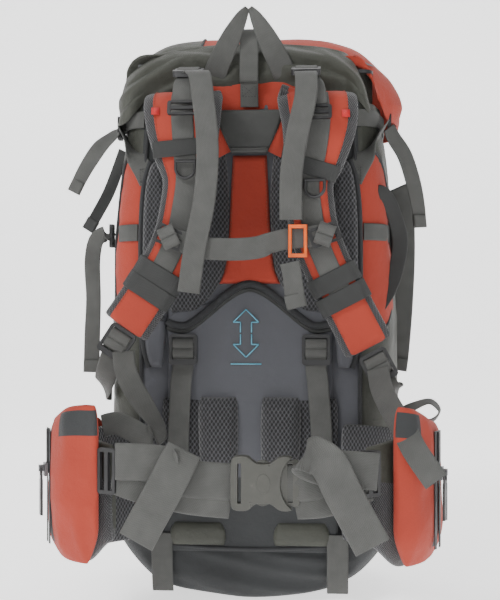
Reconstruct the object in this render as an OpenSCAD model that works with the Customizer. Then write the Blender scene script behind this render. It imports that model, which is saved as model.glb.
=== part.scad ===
/* [Pack bag] */
// Width of the bag at its widest
bag_width = 340; // [280:1:420]
// Width of the bag at its mouth
mouth_width = 314; // [260:1:330]
// Depth of the bag from the back panel to the front panel
bag_depth = 212; // [170:1:260]
// Height of the sewn panels
bag_height = 596; // [500:1:720]
// Height at which the sides start to lean in
shoulder_height = 430; // [340:1:480]
// Thickness of the sewn fabric panels
panel_thick = 3; // [2:0.5:4]
// Radius of the corners at the front
front_radius = 65; // [40:1:75]
// Radius of the corners beside the back
rear_radius = 28; // [15:1:34]
// Radius of the two bottom corners
base_radius = 62; // [40:1:75]
// Height of the drawcord collar above the panels
collar_height = 38; // [25:1:42]
// Gap between the mouth of the bag and the collar
collar_inset = 6; // [4:1:12]
// Diameter of the collar drawcord
drawcord_d = 4; // [3:0.5:5]

/* [Lid] */
// Height of the seam that the lid folds about
lid_seam_height = 684; // [680:1:690]
// Clear space between the lid and the bag
lid_clearance = 5; // [4:1:10]
// How far the lid overhangs the front panel
lid_overhang = 50; // [44:1:60]
// Thickness of the padded lid fabric
lid_thick = 3; // [2:0.5:4]
// Height of the lid crown above the seam
lid_crown = 6; // [2:1:12]
// Depth of the lid pocket below the seam
lid_pocket_depth = 44; // [30:1:46]

/* [Frame] */
// Width of the plastic frame sheet
sheet_width = 236; // [180:1:250]
// Thickness of the plastic frame sheet
sheet_thick = 1.6; // [1:0.1:2.5]
// Width of each aluminium stay
stay_width = 20; // [15:1:25]
// Thickness of each aluminium stay
stay_thick = 3; // [2:0.5:4]
// Distance between the two stays
stay_spacing = 110; // [80:1:150]

/* [Harness] */
// Travel of the size adjustment, downwards
harness_travel = 40; // [20:1:45]
// Height of the lower edge of the harness plate
plate_bottom = 222; // [215:1:235]
// Height of the upper edge of the harness plate
plate_top = 576; // [560:1:582]
// Width of the harness plate
plate_width = 196; // [170:1:204]
// Thickness of the harness plate
plate_thick = 3; // [2:0.5:4]
// Clear space between sliding layers of the back
layer_gap = 0.8; // [0.4:0.1:1.2]
// Thickness of the mesh foam on the harness plate
mesh_thick = 8; // [5:1:10]
// Thickness of the piping arch
piping_d = 8; // [5:0.5:10]

/* [Shoulder straps] */
// Thickness of the shoulder strap foam
strap_thick = 14; // [8:1:16]
// Width of the narrow webbing
webbing_width = 25; // [20:1:28]
// Thickness of the webbing
webbing_thick = 2; // [1.2:0.1:2.2]
// Diameter of the wire of the D-rings
ring_wire = 3.6; // [2.5:0.1:4.5]
// Width across the inside of the D-rings
ring_width = 18; // [14:1:24]

/* [Hip belt] */
// Distance between the centres that the two wings curve about
belt_spacing = 196; // [160:1:220]
// Radius of the curve of a wing
belt_radius = 80; // [70:1:90]
// Thickness of the wings
wing_thick = 14; // [8:1:18]
// Lowest edge of the wings
wing_bottom = 78; // [60:1:90]
// Highest edge of the wings
wing_top = 214; // [190:1:225]
// Depth of the hip pockets
pocket_depth = 30; // [20:1:34]
// Wall of the hip pockets
pocket_wall = 2.5; // [1.5:0.5:3]
// Width of the hip belt webbing
hip_webbing_width = 38; // [30:1:42]
// Height of the middle of the hip buckle
buckle_height = 174; // [160:1:190]
// Length of the prongs of the hip buckle
prong_length = 30; // [24:1:34]

/* [Front pocket] */
// Width of the front pocket
front_pocket_width = 190; // [150:1:200]
// Height of the front pocket
front_pocket_height = 300; // [200:1:320]
// Depth of the front pocket
front_pocket_depth = 26; // [16:1:40]

/* [Hidden] */

// Colours
rust = [0.80, 0.32, 0.21];
olive = [0.29, 0.30, 0.26];
grey = [0.42, 0.42, 0.41];
charcoal = [0.22, 0.22, 0.23];
black = [0.10, 0.10, 0.11];
silver = [0.75, 0.76, 0.78];

// Everything is laid out from the plane of the back, then centred on the base
module from_back() translate([0, -bag_depth / 2, 0]) children();

// ---- Curves and swept strips ----
function unit(v) = v / norm(v);
function knot(p, i) = p[max(0, min(len(p) - 1, i))];
function between(a, b, c, d, t) =
    0.5 * (2 * b + (c - a) * t + (2 * a - 5 * b + 4 * c - d) * t * t + (3 * b - a - 3 * c + d) * t * t * t);
function smooth_line(p, steps) = [
    for (i = [0:len(p) - 2], s = [0:steps - 1])
        between(knot(p, i - 1), knot(p, i), knot(p, i + 1), knot(p, i + 2), s / steps),
    p[len(p) - 1]
];
function xyz(row) = [row[0], row[1], row[2]];
function heading(line, i) = unit(xyz(knot(line, i + 1)) - xyz(knot(line, i - 1)));
function across(hint, t) = unit(hint - (hint * t) * t);
function strip_ring(row, t, thick, hint, lift, outline) =
    let (flat = across(hint, t), up = cross(t, flat),
         side = cos(row[4]) * flat + sin(row[4]) * up, face = cross(t, side))
    [for (q = outline) xyz(row) + side * (q[0] * row[3] / 2) + face * (q[1] * thick / 2 + lift)];

flat_edge = [[-1, -1], [1, -1], [1, 1], [-1, 1]];
round_edge = [[-1, -0.4], [-0.84, -1], [0.84, -1], [1, -0.4], [1, 0.4], [0.84, 1], [-0.84, 1], [-1, 0.4]];

// A strip of webbing or padding along a route. Each row of a route holds a
// point, the width there and the angle that the strip is turned by.
// The first points of the smoothed line are left out where skip is given.
module strip(route, thick, hint = [1, 0, 0], lift = 0, steps = 3, outline = flat_edge, skip = 0) {
    whole = smooth_line(route, steps);
    line = [for (i = [skip:len(whole) - 1]) whole[i]];
    n = len(line);
    k = len(outline);
    points = [for (i = [0:n - 1]) each strip_ring(line[i], heading(line, i), thick, hint, lift, outline)];
    sides = [for (i = [0:n - 2], j = [0:k - 1])
        let (a = i * k + j, b = i * k + (j + 1) % k, c = b + k, d = a + k)
        each [[a, b, c], [a, c, d]]];
    start = [for (j = [1:k - 2]) [0, j + 1, j]];
    end = [for (j = [1:k - 2]) [(n - 1) * k, (n - 1) * k + j, (n - 1) * k + j + 1]];
    polyhedron(points, concat(sides, start, end), convexity = 6);
}

// A row of a route of plain webbing
function web(x, y, z, turn = 0) = [x, y, z, webbing_width, turn];
function hip(x, y, z, turn = 0) = [x, y, z, hip_webbing_width, turn];

// ---- Outlines ----
module round_rect(size, r) {
    translate([-size[0] / 2 + r, -size[1] / 2]) square([size[0] - 2 * r, size[1]]);
    translate([-size[0] / 2, -size[1] / 2 + r]) square([size[0], size[1] - 2 * r]);
    for (x = [-1, 1], y = [-1, 1])
        translate([x * (size[0] / 2 - r), y * (size[1] / 2 - r)]) circle(r, $fn = 48);
}

// Faces the back: drawn in X and Z, thick along Y
module upright(thick) rotate([90, 0, 0]) translate([0, 0, -thick]) linear_extrude(thick) children();

module bag_plan(half, inset) {
    rf = front_radius - inset;
    rr = rear_radius - inset;
    w = half - inset;
    mid = bag_depth / 2;
    translate([-w + rf, mid]) square([2 * (w - rf), bag_depth - inset - mid]);
    translate([-w, mid - 1]) square([2 * w, bag_depth - front_radius - mid + 1]);
    translate([-w + rr, inset]) square([2 * (w - rr), mid - inset]);
    translate([-w, rear_radius]) square([2 * w, mid - rear_radius]);
    for (side = [-1, 1]) {
        translate([side * (w - rf), bag_depth - front_radius]) circle(rf, $fn = 64);
        translate([side * (w - rr), rear_radius]) circle(rr, $fn = 48);
    }
}

// ---- Bag ----
half_width = bag_width / 2;
mouth_half = mouth_width / 2;
lean = (half_width - mouth_half) / (bag_height - shoulder_height);
function side_x(z) = z < shoulder_height ? half_width : half_width - (z - shoulder_height) * lean;

module bag_front_outline(inset) {
    w = half_width - inset;
    r = base_radius - inset;
    top = bag_height + inset;
    translate([-w + r, inset]) square([2 * (w - r), base_radius]);
    translate([-w, base_radius]) square([2 * w, shoulder_height - base_radius]);
    polygon([[-w, shoulder_height], [w, shoulder_height], [w - (top - shoulder_height) * lean, top],
        [-w + (top - shoulder_height) * lean, top]]);
    for (side = [-1, 1]) translate([side * (w - r), base_radius]) circle(r, $fn = 64);
}

module bag_form(inset) intersection() {
    linear_extrude(bag_height + inset) bag_plan(half_width, inset);
    upright(bag_depth + 2) bag_front_outline(inset);
}

module bag_shell() difference() {
    bag_form(0);
    bag_form(panel_thick);
}

module slab(x0, x1, y0, y1, z0, z1) translate([x0, y0, z0]) cube([x1 - x0, y1 - y0, z1 - z0]);

back_half = mouth_half - rear_radius - 6;
front_line = bag_depth - front_radius;

module base_panel() color(charcoal) from_back() intersection() {
    bag_shell();
    slab(-half_width, half_width, -1, bag_depth + 1, -1, base_radius);
}

module back_panel() color(charcoal) from_back() intersection() {
    bag_shell();
    slab(-back_half, back_half, -1, panel_thick, base_radius, bag_height);
}

module side_panels() color(rust) from_back() intersection() {
    bag_shell();
    for (side = [-1, 1])
        slab(side > 0 ? back_half : -half_width, side > 0 ? half_width : -back_half,
            -1, front_line, base_radius, bag_height);
}

module front_panel() color(olive) from_back() intersection() {
    bag_shell();
    slab(-half_width, half_width, front_line, bag_depth + 1, base_radius, bag_height);
}

hem_height = 10;
hem_wall = 2;
collar_wall = 2;
collar_half = mouth_half - panel_thick - collar_inset;
collar_edge = panel_thick + collar_inset;
collar_top = bag_height + collar_height;

module collar_ring(outer, inner) difference() {
    bag_plan(collar_half + collar_edge, outer);
    bag_plan(collar_half + collar_edge, inner);
}

hem_outer = collar_edge;
hem_inner = collar_edge + 2 * hem_wall + drawcord_d + 1;

module collar() color(olive) from_back() {
    translate([0, 0, bag_height - 12]) linear_extrude(collar_height + 12 - hem_height)
        collar_ring(hem_outer, hem_outer + collar_wall);
    translate([0, 0, collar_top - hem_height]) difference() {
        linear_extrude(hem_height) collar_ring(hem_outer, hem_inner);
        translate([0, 0, (hem_height - drawcord_d) / 2 - 0.5]) linear_extrude(drawcord_d + 1)
            collar_ring(hem_outer + hem_wall, hem_inner - hem_wall);
        translate([0, bag_depth - hem_outer - hem_wall / 2, hem_height / 2]) cube([14, hem_wall + 2,
            drawcord_d + 1], center = true);
    }
}

module drawcord() color(black) from_back() {
    translate([0, 0, collar_top - (hem_height + drawcord_d) / 2]) {
        linear_extrude(drawcord_d) collar_ring(hem_outer + hem_wall + 0.5, hem_inner - hem_wall - 0.5);
        for (side = [-1, 1]) translate([side * 4, bag_depth - hem_outer - hem_wall - 2, drawcord_d / 2])
            rotate([-90, 0, 0]) cylinder(d = drawcord_d, h = 14, $fn = 24);
        translate([0, bag_depth - hem_outer + 12, drawcord_d / 2]) sphere(d = 2.6 * drawcord_d, $fn = 24);
    }
}

// ---- Frame inside the bag ----
module frame_sheet() color(black) from_back() translate([0, panel_thick + 0.3,
    (base_radius + bag_height) / 2])
    upright(sheet_thick) round_rect([sheet_width, bag_height - base_radius - 14], 24);

module frame_stays() color(silver) from_back()
    for (side = [-1, 1]) translate([side * stay_spacing / 2, panel_thick + sheet_thick + 0.6,
        (base_radius + bag_height) / 2])
        upright(stay_thick) round_rect([stay_width, bag_height - base_radius - 24], stay_width / 2 - 1);

// ---- Front pocket ----
module front_pocket() color(rust) from_back() translate([0, bag_depth + 0.2, 120]) difference() {
    translate([0, front_pocket_depth / 2, 0]) linear_extrude(front_pocket_height)
        round_rect([front_pocket_width, front_pocket_depth], 10);
    translate([0, front_pocket_depth / 2 - panel_thick, panel_thick]) linear_extrude(front_pocket_height)
        square([front_pocket_width - 2 * panel_thick, front_pocket_depth], center = true);
}

// ---- Lid: an open cap that folds about the seam at the top of the rear panel ----
seam_y = 8;
lid_half = mouth_half + lid_clearance + lid_thick + 4;
lid_front = bag_depth + lid_overhang;
lid_skirt = bag_height - 20;
lid_crown_z = lid_seam_height + lid_crown;

lid_brow = lid_seam_height - 22;

// Side view of the lid, drawn in Y and Z
module lid_profile() polygon([
    [seam_y + 2, lid_seam_height - 32], [seam_y + 60, lid_skirt + 20], [seam_y + 100, lid_skirt],
    [lid_front, lid_skirt + 6], [lid_front, lid_brow], [lid_front - 24, lid_seam_height - 2],
    [lid_front - 90, lid_crown_z], [seam_y + 50, lid_crown_z], [seam_y + 2, lid_seam_height + 1]]);
module lid_hollow() polygon([
    [seam_y - 1, lid_skirt - 20], [lid_front - lid_thick, lid_skirt - 20], [lid_front - lid_thick,
        lid_brow - 2],
    [lid_front - 24, lid_seam_height - 2 - lid_thick - 1], [lid_front - 90, lid_crown_z - lid_thick],
    [seam_y + 50, lid_crown_z - lid_thick], [seam_y - 1, lid_seam_height - lid_thick]]);
module through_lid() translate([-lid_half, 0, 0]) rotate([90, 0,
    90]) linear_extrude(2 * lid_half) children();

zip_tape = 18;
zip_coil = 5;
zip_slot = 8;
coil_height = 1.5;
tape_thick = 1;
lid_zip_height = lid_seam_height - 32;
lid_zip_half = 100;
lid_slider_x = 62;

module lid_top() color(rust) from_back() difference() {
    intersection() {
        through_lid() lid_profile();
        translate([0, (seam_y + lid_front) / 2, lid_skirt]) linear_extrude(lid_crown_z - lid_skirt)
            round_rect([2 * lid_half, lid_front - seam_y], front_radius - 20);
    }
    intersection() {
        through_lid() lid_hollow();
        translate([0, (seam_y + lid_front) / 2 - 20, lid_skirt - 1]) linear_extrude(lid_crown_z - lid_skirt)
            round_rect([2 * (lid_half - lid_thick), lid_front - seam_y - 2 * lid_thick + 40],
                front_radius - 20 - lid_thick);
    }
    slab(-lid_zip_half + 4, lid_slider_x - 8, lid_front - lid_thick - 1, lid_front + 1,
        lid_zip_height - zip_slot / 2, lid_zip_height + zip_slot / 2);
}

module lid_floor() color(olive) from_back()
    translate([0, (seam_y + lid_front) / 2 + 3, lid_seam_height - lid_pocket_depth]) linear_extrude(2)
        round_rect([2 * (lid_half - lid_thick) - 1, lid_front - seam_y - 2 * lid_thick - 8],
            front_radius - 18);

module lid_rear_panel() color(olive) from_back() translate([0, 1, 0]) upright(3) {
    translate([-mouth_half + 4, bag_height + 1]) square([2 * mouth_half - 8, 30]);
    translate([0, (lid_seam_height + bag_height) / 2 - 2]) round_rect([2 * mouth_half - 8,
        lid_seam_height - bag_height - 6], 34);
}

// The tape is in two halves, and the coil ends at the slider
module lid_zip() color(black) from_back() translate([0, lid_front + 0.1, lid_zip_height]) {
    for (side = [-1, 1]) translate([0, 0, side * (zip_tape + zip_slot) / 4])
        slab(-lid_zip_half, lid_zip_half, 0, tape_thick, (zip_slot - zip_tape) / 4,
            (zip_tape - zip_slot) / 4);
    slab(lid_slider_x - 4, lid_zip_half, tape_thick, tape_thick + coil_height, -zip_coil / 2, zip_coil / 2);
    slab(lid_slider_x - 4, lid_zip_half, 0, tape_thick, -zip_slot / 2, zip_slot / 2);
}

// Zip slider and pull: X across, Z up, Y outwards from the tape
slider_base = coil_height + 0.4;
pull_pin_y = 7.2;
pull_pin_z = 1.5;
pull_pin_r = 1;

module zip_slider(sideways) difference() {
    union() {
        slab(-5, 5, 0.6, slider_base + 2.4, -7, 7);
        slab(-1.5, 1.5, slider_base + 2, pull_pin_y + 2.6, -2, 5);
    }
    if (sideways) slab(-6, 6, -1, slider_base, -3.2, 3.2);
    else slab(-3.2, 3.2, -1, slider_base, -8, 8);
    translate([0, pull_pin_y, pull_pin_z]) rotate([0, 90, 0]) cylinder(r = pull_pin_r + 0.3, h = 10,
        center = true, $fn = 32);
}

module zip_pull(length) translate([0, pull_pin_y, pull_pin_z]) {
    rotate([0, 90, 0]) cylinder(r = pull_pin_r, h = 8, center = true, $fn = 24);
    for (side = [-1, 1]) slab(side * 3.2 - 0.8, side * 3.2 + 0.8, -1, 1, -9, 1.2);
    slab(-4, 4, -1, 1, -12, -8);
    slab(-4.5, 4.5, -1.2, 1.2, -length, -12);
}

module lid_zip_at() from_back() translate([lid_slider_x, lid_front + 0.1 + tape_thick,
    lid_zip_height]) children();
module lid_zip_slider() color(grey) lid_zip_at() zip_slider(true);
module lid_zip_pull() color(black) lid_zip_at() zip_pull(38);

// ---- Side-release buckles: X along the strap, Y thick, Z across ----
buckle_wall = 2.6;
buckle_gap = 1.2;

module buckle_female(webbing, depth, reach) {
    h = webbing + 12;
    mouth = depth - 2 * buckle_wall;
    difference() {
        translate([-reach / 2 - 6, depth / 2, 0]) rotate([90, 0, 0]) linear_extrude(depth)
            round_rect([reach + 12, h], 5);
        translate([-reach / 2 + 1, 0, 0]) cube([reach + 2, mouth, h - 2 * buckle_wall - 4], center = true);
        translate([-reach / 2, 0, 0]) cube([reach - 14, mouth, h + 2], center = true);
        translate([-reach - 5, 0, 0]) cube([5, depth + 2, webbing + 1], center = true);
    }
}

module buckle_male(webbing, depth, reach) {
    h = webbing + 12;
    flat = depth - 2 * buckle_wall - 2 * buckle_gap;
    arm = h / 2 - buckle_wall - 2 - buckle_gap;
    difference() {
        translate([9.5, depth / 2, 0]) rotate([90, 0, 0]) linear_extrude(depth) round_rect([18, h - 4], 4);
        translate([12, 0, 0]) cube([5, depth + 2, webbing + 1], center = true);
    }
    translate([-reach / 2 + 2, 0, 0]) cube([reach - 1, flat, webbing * 0.22], center = true);
    for (side = [-1, 1]) {
        translate([0, flat / 2, 0]) rotate([90, 0, 0]) linear_extrude(flat)
            polygon([[1, side * (arm - 5)], [1, side * (arm - 1)], [-reach + 12, side * arm],
                [-reach + 6, side * arm],
                [-reach + 3, side * (arm - 4)], [-reach + 10, side * (arm - 5)]]);
    }
}

lid_buckle_depth = 9;
lid_prong = 20;
lid_strap_x = 72;
lid_buckle_y = lid_front - 2;
lid_buckle_z = lid_skirt - 22;
lid_strap_tilt = atan2(lid_seam_height - lid_buckle_z, lid_buckle_y - seam_y);

// X runs down the strap, which leans in towards the bag
module lid_buckle_frame(side) from_back() translate([side * lid_strap_x, lid_buckle_y, lid_buckle_z])
    rotate([-lid_strap_tilt, 0, 0]) multmatrix([[0, 0, 1, 0], [0, 1, 0, 0], [-1, 0, 0, 0], [0, 0, 0,
        1]]) children();

module lid_buckle_females() color(charcoal)
    for (side = [-1, 1]) lid_buckle_frame(side) buckle_female(webbing_width, lid_buckle_depth, lid_prong);

module lid_buckle_males() color(charcoal)
    for (side = [-1, 1]) lid_buckle_frame(side) buckle_male(webbing_width, lid_buckle_depth, lid_prong);

strap_rise = lid_prong + 12;
strap_drop = 18;
function down_strap(side, s, out) = [side * lid_strap_x,
    lid_buckle_y - s * sin(lid_strap_tilt) + out * cos(lid_strap_tilt),
    lid_buckle_z - s * cos(lid_strap_tilt) - out * sin(lid_strap_tilt)];
function web_at(p) = web(p[0], p[1], p[2]);

module lid_straps() color(grey) from_back() for (side = [-1, 1])
    strip([web_at(down_strap(side, -strap_rise - 1.5, 0)), web_at(down_strap(side, -strap_rise - 8, -2)),
        web(side * lid_strap_x, lid_front + 2, lid_skirt + 22), web(side * lid_strap_x, lid_front + 2,
            lid_zip_height - 12)],
        webbing_thick, steps = 3);

module lid_strap_anchors() color(grey) from_back() for (side = [-1, 1])
    strip([web_at(down_strap(side, strap_drop + 2, 0)), web_at(down_strap(side, strap_drop + 14, 0)),
        web(side * lid_strap_x, bag_depth + 4, 506), web(side * lid_strap_x, bag_depth + 2, 486),
        web(side * lid_strap_x, bag_depth + 1.8, 440)], webbing_thick, steps = 3);

// ---- Ladder locks and tri-glides: X across the webbing, Z along it, Y thick ----
lock_rail = 4;
lock_length = 36;
lock_thick = 5;

module ladder_lock() {
    w = webbing_width + 2 * lock_rail;
    slot = webbing_width + 1;
    difference() {
        union() {
            translate([0, -lock_thick / 2, 0]) upright(lock_thick) round_rect([w, lock_length], 5);
            translate([0, -lock_thick / 2 - 2, -lock_length / 2 + 5]) upright(4) round_rect([w, 10], 4);
        }
        translate([0, 0, lock_length / 2 - 7]) cube([slot, 20, 6], center = true);
        translate([0, 0, 1]) cube([slot, 20, 6], center = true);
        translate([0, 0, -9]) cube([slot, 20, 5], center = true);
    }
}

module tri_glide(webbing, height, thick) difference() {
    translate([0, -thick / 2, 0]) upright(thick) round_rect([webbing + 9, height], 3);
    for (side = [-1, 1]) translate([0, 0, side * height / 4.4]) cube([webbing + 1, 20, height * 0.24],
        center = true);
}

// ---- Back ----
plate_y = -layer_gap - plate_thick;
face_y = plate_y - mesh_thick;
pad_x = plate_width / 2 + 3;

module back_pads() color(black) from_back() for (side = [-1, 1])
    translate([side * (pad_x + 13), -12, 0]) upright(11.8) translate([0, 400]) round_rect([26, 250], 9);

module harness_plate() color(grey) from_back() translate([0, plate_y, (plate_top + plate_bottom) / 2])
    upright(plate_thick) round_rect([plate_width, plate_top - plate_bottom], 18);

module mesh_panels() color(black) from_back() for (side = [-1, 1])
    translate([0, face_y, 0]) upright(mesh_thick - 0.2)
        polygon([[side * 28, 530], [side * 34, 545], [side * 42, 574], [side * 94, 566], [side * 94,
            350], [side * 80, 342],
            [side * 40, 376], [side * 30, 400], [side * 24, 470]]);

module spine_panel() color(rust) from_back() translate([0, face_y + 1, 0]) upright(mesh_thick - 1.2) {
    polygon([[-20, 528], [20, 528], [23, 460], [27, 400], [36, 379], [18, 386], [0, 390], [-18, 386],
        [-36, 379], [-27, 400], [-23, 460]]);
}

arch_route = [[-92, 330], [-76, 329], [-62, 338], [-46, 350], [-28, 364], [-12, 373], [0, 376]];
module piping_arch() color(black) from_back() translate([0, plate_y - 0.2, 0]) {
    half = [for (p = arch_route) [p[0], -piping_d / 2, p[1], piping_d, 0]];
    other = [for (i = [len(half) - 2:-1:0]) [-half[i][0], half[i][1], half[i][2], piping_d, 0]];
    strip(concat(half, other), piping_d, hint = [0, 1, 0], steps = 2, outline = round_edge);
}

module yoke() color(rust) from_back() translate([0, plate_y, 0])
    upright(plate_thick) polygon([[-53, 615], [-40, 611], [0, 609], [40, 611], [56, 615], [42, 578],
        [-38, 578]]);

strap_slot = webbing_thick + 2 * layer_gap;
flap_y = plate_y - mesh_thick - strap_slot - 1;
module back_flap() color(black) from_back() {
    translate([0, flap_y, 0]) upright(3)
        polygon([[-42, 579], [-22, 582], [0, 583], [22, 582], [42, 579], [25, 531], [0, 529], [-22, 531]]);
    for (side = [-1, 1]) translate([0, flap_y + 3, 0]) upright(plate_y - flap_y - 3.2)
        polygon([[side * 40, 576], [side * 32, 576], [side * 26, 545], [side * 32, 545]]);
}

module centre_strap() color(grey) from_back()
    strip([[0, -1.4, 676, 18, 0], [0, -5, 655, 18, 0], [0, plate_y - 3.5, 632, 18, 0], [0, plate_y - 4.6,
        600, 18, 0],
        [0, plate_y - 5, 586, 18, 0], [0, plate_y - 5, 535, 18, 0]], webbing_thick, steps = 2);

module centre_buckle() color(black) from_back() translate([21, -2.5, 664]) rotate([0, 12, 0])
    difference() {
        translate([0, -1.5, 0]) upright(3) round_rect([18, 14], 3);
        for (side = [-1, 1]) translate([0, 0, side * 3]) cube([11, 9, 2.4], center = true);
    }

lumbar_y = plate_y - layer_gap - 3;
module lumbar_panel() color(grey) from_back() {
    translate([0, lumbar_y, 149]) upright(3) round_rect([208, 180], 14);
    for (side = [-1, 1]) translate([0, lumbar_y + 3, 0]) upright(-lumbar_y - 3.2)
        translate([side * 101.5, 150]) square([5, 150], center = true);
}

module lumbar_pads() color(charcoal) from_back() {
    for (side = [-1, 1]) {
        translate([side * 36, lumbar_y - 13, 202]) upright(12.8) round_rect([44, 84], 8);
        translate([side * 60, lumbar_y - 7, 84]) upright(6.8) round_rect([56, 30], 6);
    }
}

// ---- Shoulder straps: point, width, turn ----
left_strap = [
    [-66, -21, 548, 42, 0], [-66, -25, 572, 60, 0], [-68, -33, 588, 80, 0], [-70, -49, 582, 82, 0],
    [-69, -57, 560, 80, 0], [-67, -61, 524, 68, 0], [-66, -62, 494, 58, 0], [-70, -63, 462, 55, 0],
    [-77, -63, 430, 55, 0], [-91, -63, 398, 55, 0], [-112, -62, 364, 56, 0], [-138, -61, 326, 57, 0]];
right_strap = [
    [66, -21, 548, 42, 0], [67, -25, 572, 60, 0], [72, -33, 588, 80, 0], [76, -49, 582, 80, 0],
    [78, -57, 556, 76, 0], [74, -61, 520, 66, 0], [70, -62, 492, 58, 0], [72, -63, 462, 55, 0],
    [78, -63, 430, 55, 0], [90, -63, 398, 55, 0], [109, -62, 360, 56, 0], [138, -61, 304, 57, 0]];

module shoulder_strap_left() color(rust) from_back() strip(left_strap, strap_thick, steps = 2,
    outline = round_edge);
module shoulder_strap_right() color(rust) from_back() strip(right_strap, strap_thick, steps = 2,
    outline = round_edge);

webbing_lift = strap_thick / 2 + webbing_thick / 2 + 0.2;
function on_strap(route) = [for (row = route) web(row[0], row[1], row[2])];

module strap_webbing() color(grey) from_back() {
    for (route = [left_strap, right_strap])
        strip(on_strap(route), webbing_thick, lift = webbing_lift, steps = 2, skip = 6);
}

// Depth of the outer face of the webbing that runs down the straps
front_y = -63 - strap_thick / 2 - webbing_thick - 0.4;

module strap_band(x, z, angle, length, height) translate([x, front_y - 1.2, z]) rotate([0, angle, 0])
    translate([0, -0.8, 0]) upright(1.6) round_rect([length, height], 2);

// A band that wraps the straight bar of a D-ring
ring_bar_y = front_y - 2 - ring_wire / 2;
left_ring = [-67, 513];
right_ring = [77, 491];
module ring_tunnel(p) translate([p[0], 0, p[1]]) difference() {
    slab(-ring_width / 2 + 1, ring_width / 2 - 1, ring_bar_y - ring_wire / 2 - 1.4, front_y - 0.6, -4, 4);
    translate([0, ring_bar_y, 0]) rotate([0, 90, 0]) cylinder(r = ring_wire / 2 + 0.3,
        h = ring_width + 4, center = true, $fn = 32);
}

module strap_bands() color(charcoal) from_back() {
    strap_band(-73, 530, 0, 36, 9);
    strap_band(83, 509, 0, 36, 9);
    ring_tunnel(left_ring);
    ring_tunnel(right_ring);
    for (k = [0, 1]) {
        strap_band(-102 - 12 * k, 382 - 22 * k, -32, 50, 8);
        strap_band(99 + 12 * k, 378 - 22 * k, 30, 50, 8);
    }
}

module d_ring(p) from_back() translate([p[0], ring_bar_y, p[1]]) {
    rotate([0, 90, 0]) cylinder(d = ring_wire, h = ring_width + ring_wire, center = true, $fn = 32);
    for (side = [-1, 1]) translate([side * (ring_width + ring_wire) / 2, 0, -8]) cylinder(d = ring_wire,
        h = 8, $fn = 32);
    for (side = [-1, 1]) translate([side * (ring_width + ring_wire) / 2, 0, 0]) sphere(d = ring_wire,
        $fn = 32);
    translate([0, 0, -8]) rotate([90, 0, 0]) rotate([0, 0, 180])
        rotate_extrude(angle = 180, $fn = 64) translate([(ring_width + ring_wire) / 2,
            0]) circle(d = ring_wire, $fn = 32);
}

module d_ring_left() color(black) d_ring(left_ring);
module d_ring_right() color(black) d_ring(right_ring);

left_lock = [-147, -61, 310];
right_lock = [148, -61, 284];
size_lock_x = 78;
size_lock_z = 300;
size_lock_y = plate_y - 6;
module strap_locks() color(black) from_back() {
    translate(left_lock) rotate([0, 33, 0]) ladder_lock();
    translate(right_lock) rotate([0, -28, 0]) ladder_lock();
    for (side = [-1, 1]) translate([side * size_lock_x, size_lock_y, size_lock_z]) ladder_lock();
    translate([-70, front_y - 6, 572]) rotate([-16, 0, 0]) tri_glide(webbing_width, 17, 3);
    translate([79, front_y - 6, 566]) rotate([-16, 0, 0]) tri_glide(webbing_width, 17, 3);
}

// ---- Load lifters ----
lifter_lock = [67, -46, 618];
module load_lifter_locks() color(black) from_back() for (side = [-1, 1])
    translate([side * lifter_lock[0], lifter_lock[1], lifter_lock[2]]) rotate([-70, 0, 0]) ladder_lock();

module load_lifter_tails() color(grey) from_back() {
    for (side = [-1, 1]) strip([web(side * 67, -1.2, 622), web(side * 67, -14, 624), web(side * 67, -26,
        622)],
        webbing_thick, steps = 2);
    strip([web(-56, -66, 612), web(-50, -80, 604), web(-46, -84, 580), web(-42, -86, 545), web(-41, -87,
        505), web(-46, -88, 465),
        web(-55, -88, 415), web(-62, -87, 368)], webbing_thick, steps = 2);
    strip([web(66, -66, 611), web(68, -80, 602), web(67, -84, 580), web(60, -86, 545), web(53, -87, 510),
        web(51, -88, 485),
        web(51, -88, 459)], webbing_thick, steps = 2);
}

// ---- Webbing that changes length when the harness slides ----
module adjuster_webbing() color(grey) from_back() {
    strip([web(-68, -64, 605), web(-69, -72, 596), web(-70, front_y - 2.5, 584)], webbing_thick, steps = 2);
    strip([web(72, -64, 604), web(76, -72, 594), web(79, front_y - 2.5, 578)], webbing_thick, steps = 2);
    strip([web(-158, -58, 288, 0), web(-164, -48, 273, -20), web(-171, -26, 260, -60),
        web(-half_width - 3, 4, 252, -88),
        web(-half_width - 2.5, 36, 248, -90)], webbing_thick, steps = 2);
    strip([web(158, -58, 262, 0), web(164, -48, 258, 20), web(171, -26, 254, 60), web(half_width + 3, 4, 250,
        88), web(half_width + 2.5, 36, 247, 90)], webbing_thick, steps = 2);
    strip([web(-78, size_lock_y, 280), web(-80, size_lock_y - 4, 262), web(-83, -9.5, 210), web(-84,
        -9.5, 182)], webbing_thick, steps = 2);
    strip([web(78, size_lock_y, 280), web(80, size_lock_y - 4, 262), web(84, -9.5, 210), web(85, -9.5,
        182)], webbing_thick, steps = 2);
}

// ---- Sternum strap ----
sternum_y = front_y - 3;
hook_x = 50;
module sternum_sliders() color(charcoal) from_back() {
    translate([-84, sternum_y - 3, 428]) rotate([0, 25, 0]) tri_glide(webbing_width, 22, 5);
    translate([88, sternum_y - 3, 430]) rotate([0, -20, 0]) tri_glide(webbing_width, 22, 5);
}

hook_bar = 4;
hook_height = webbing_width + 11;
module sternum_hook() color("orangered") from_back() translate([hook_x, sternum_y - 8, 423]) {
    cylinder(d = hook_bar, h = hook_height, center = true, $fn = 32);
    for (side = [-1, 1]) slab(0, 17, -2, 2, side * (hook_height / 2 - 2) - 2,
        side * (hook_height / 2 - 2) + 2);
    translate([17, 0, 0]) cylinder(d = hook_bar, h = hook_height, center = true, $fn = 32);
}

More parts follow.
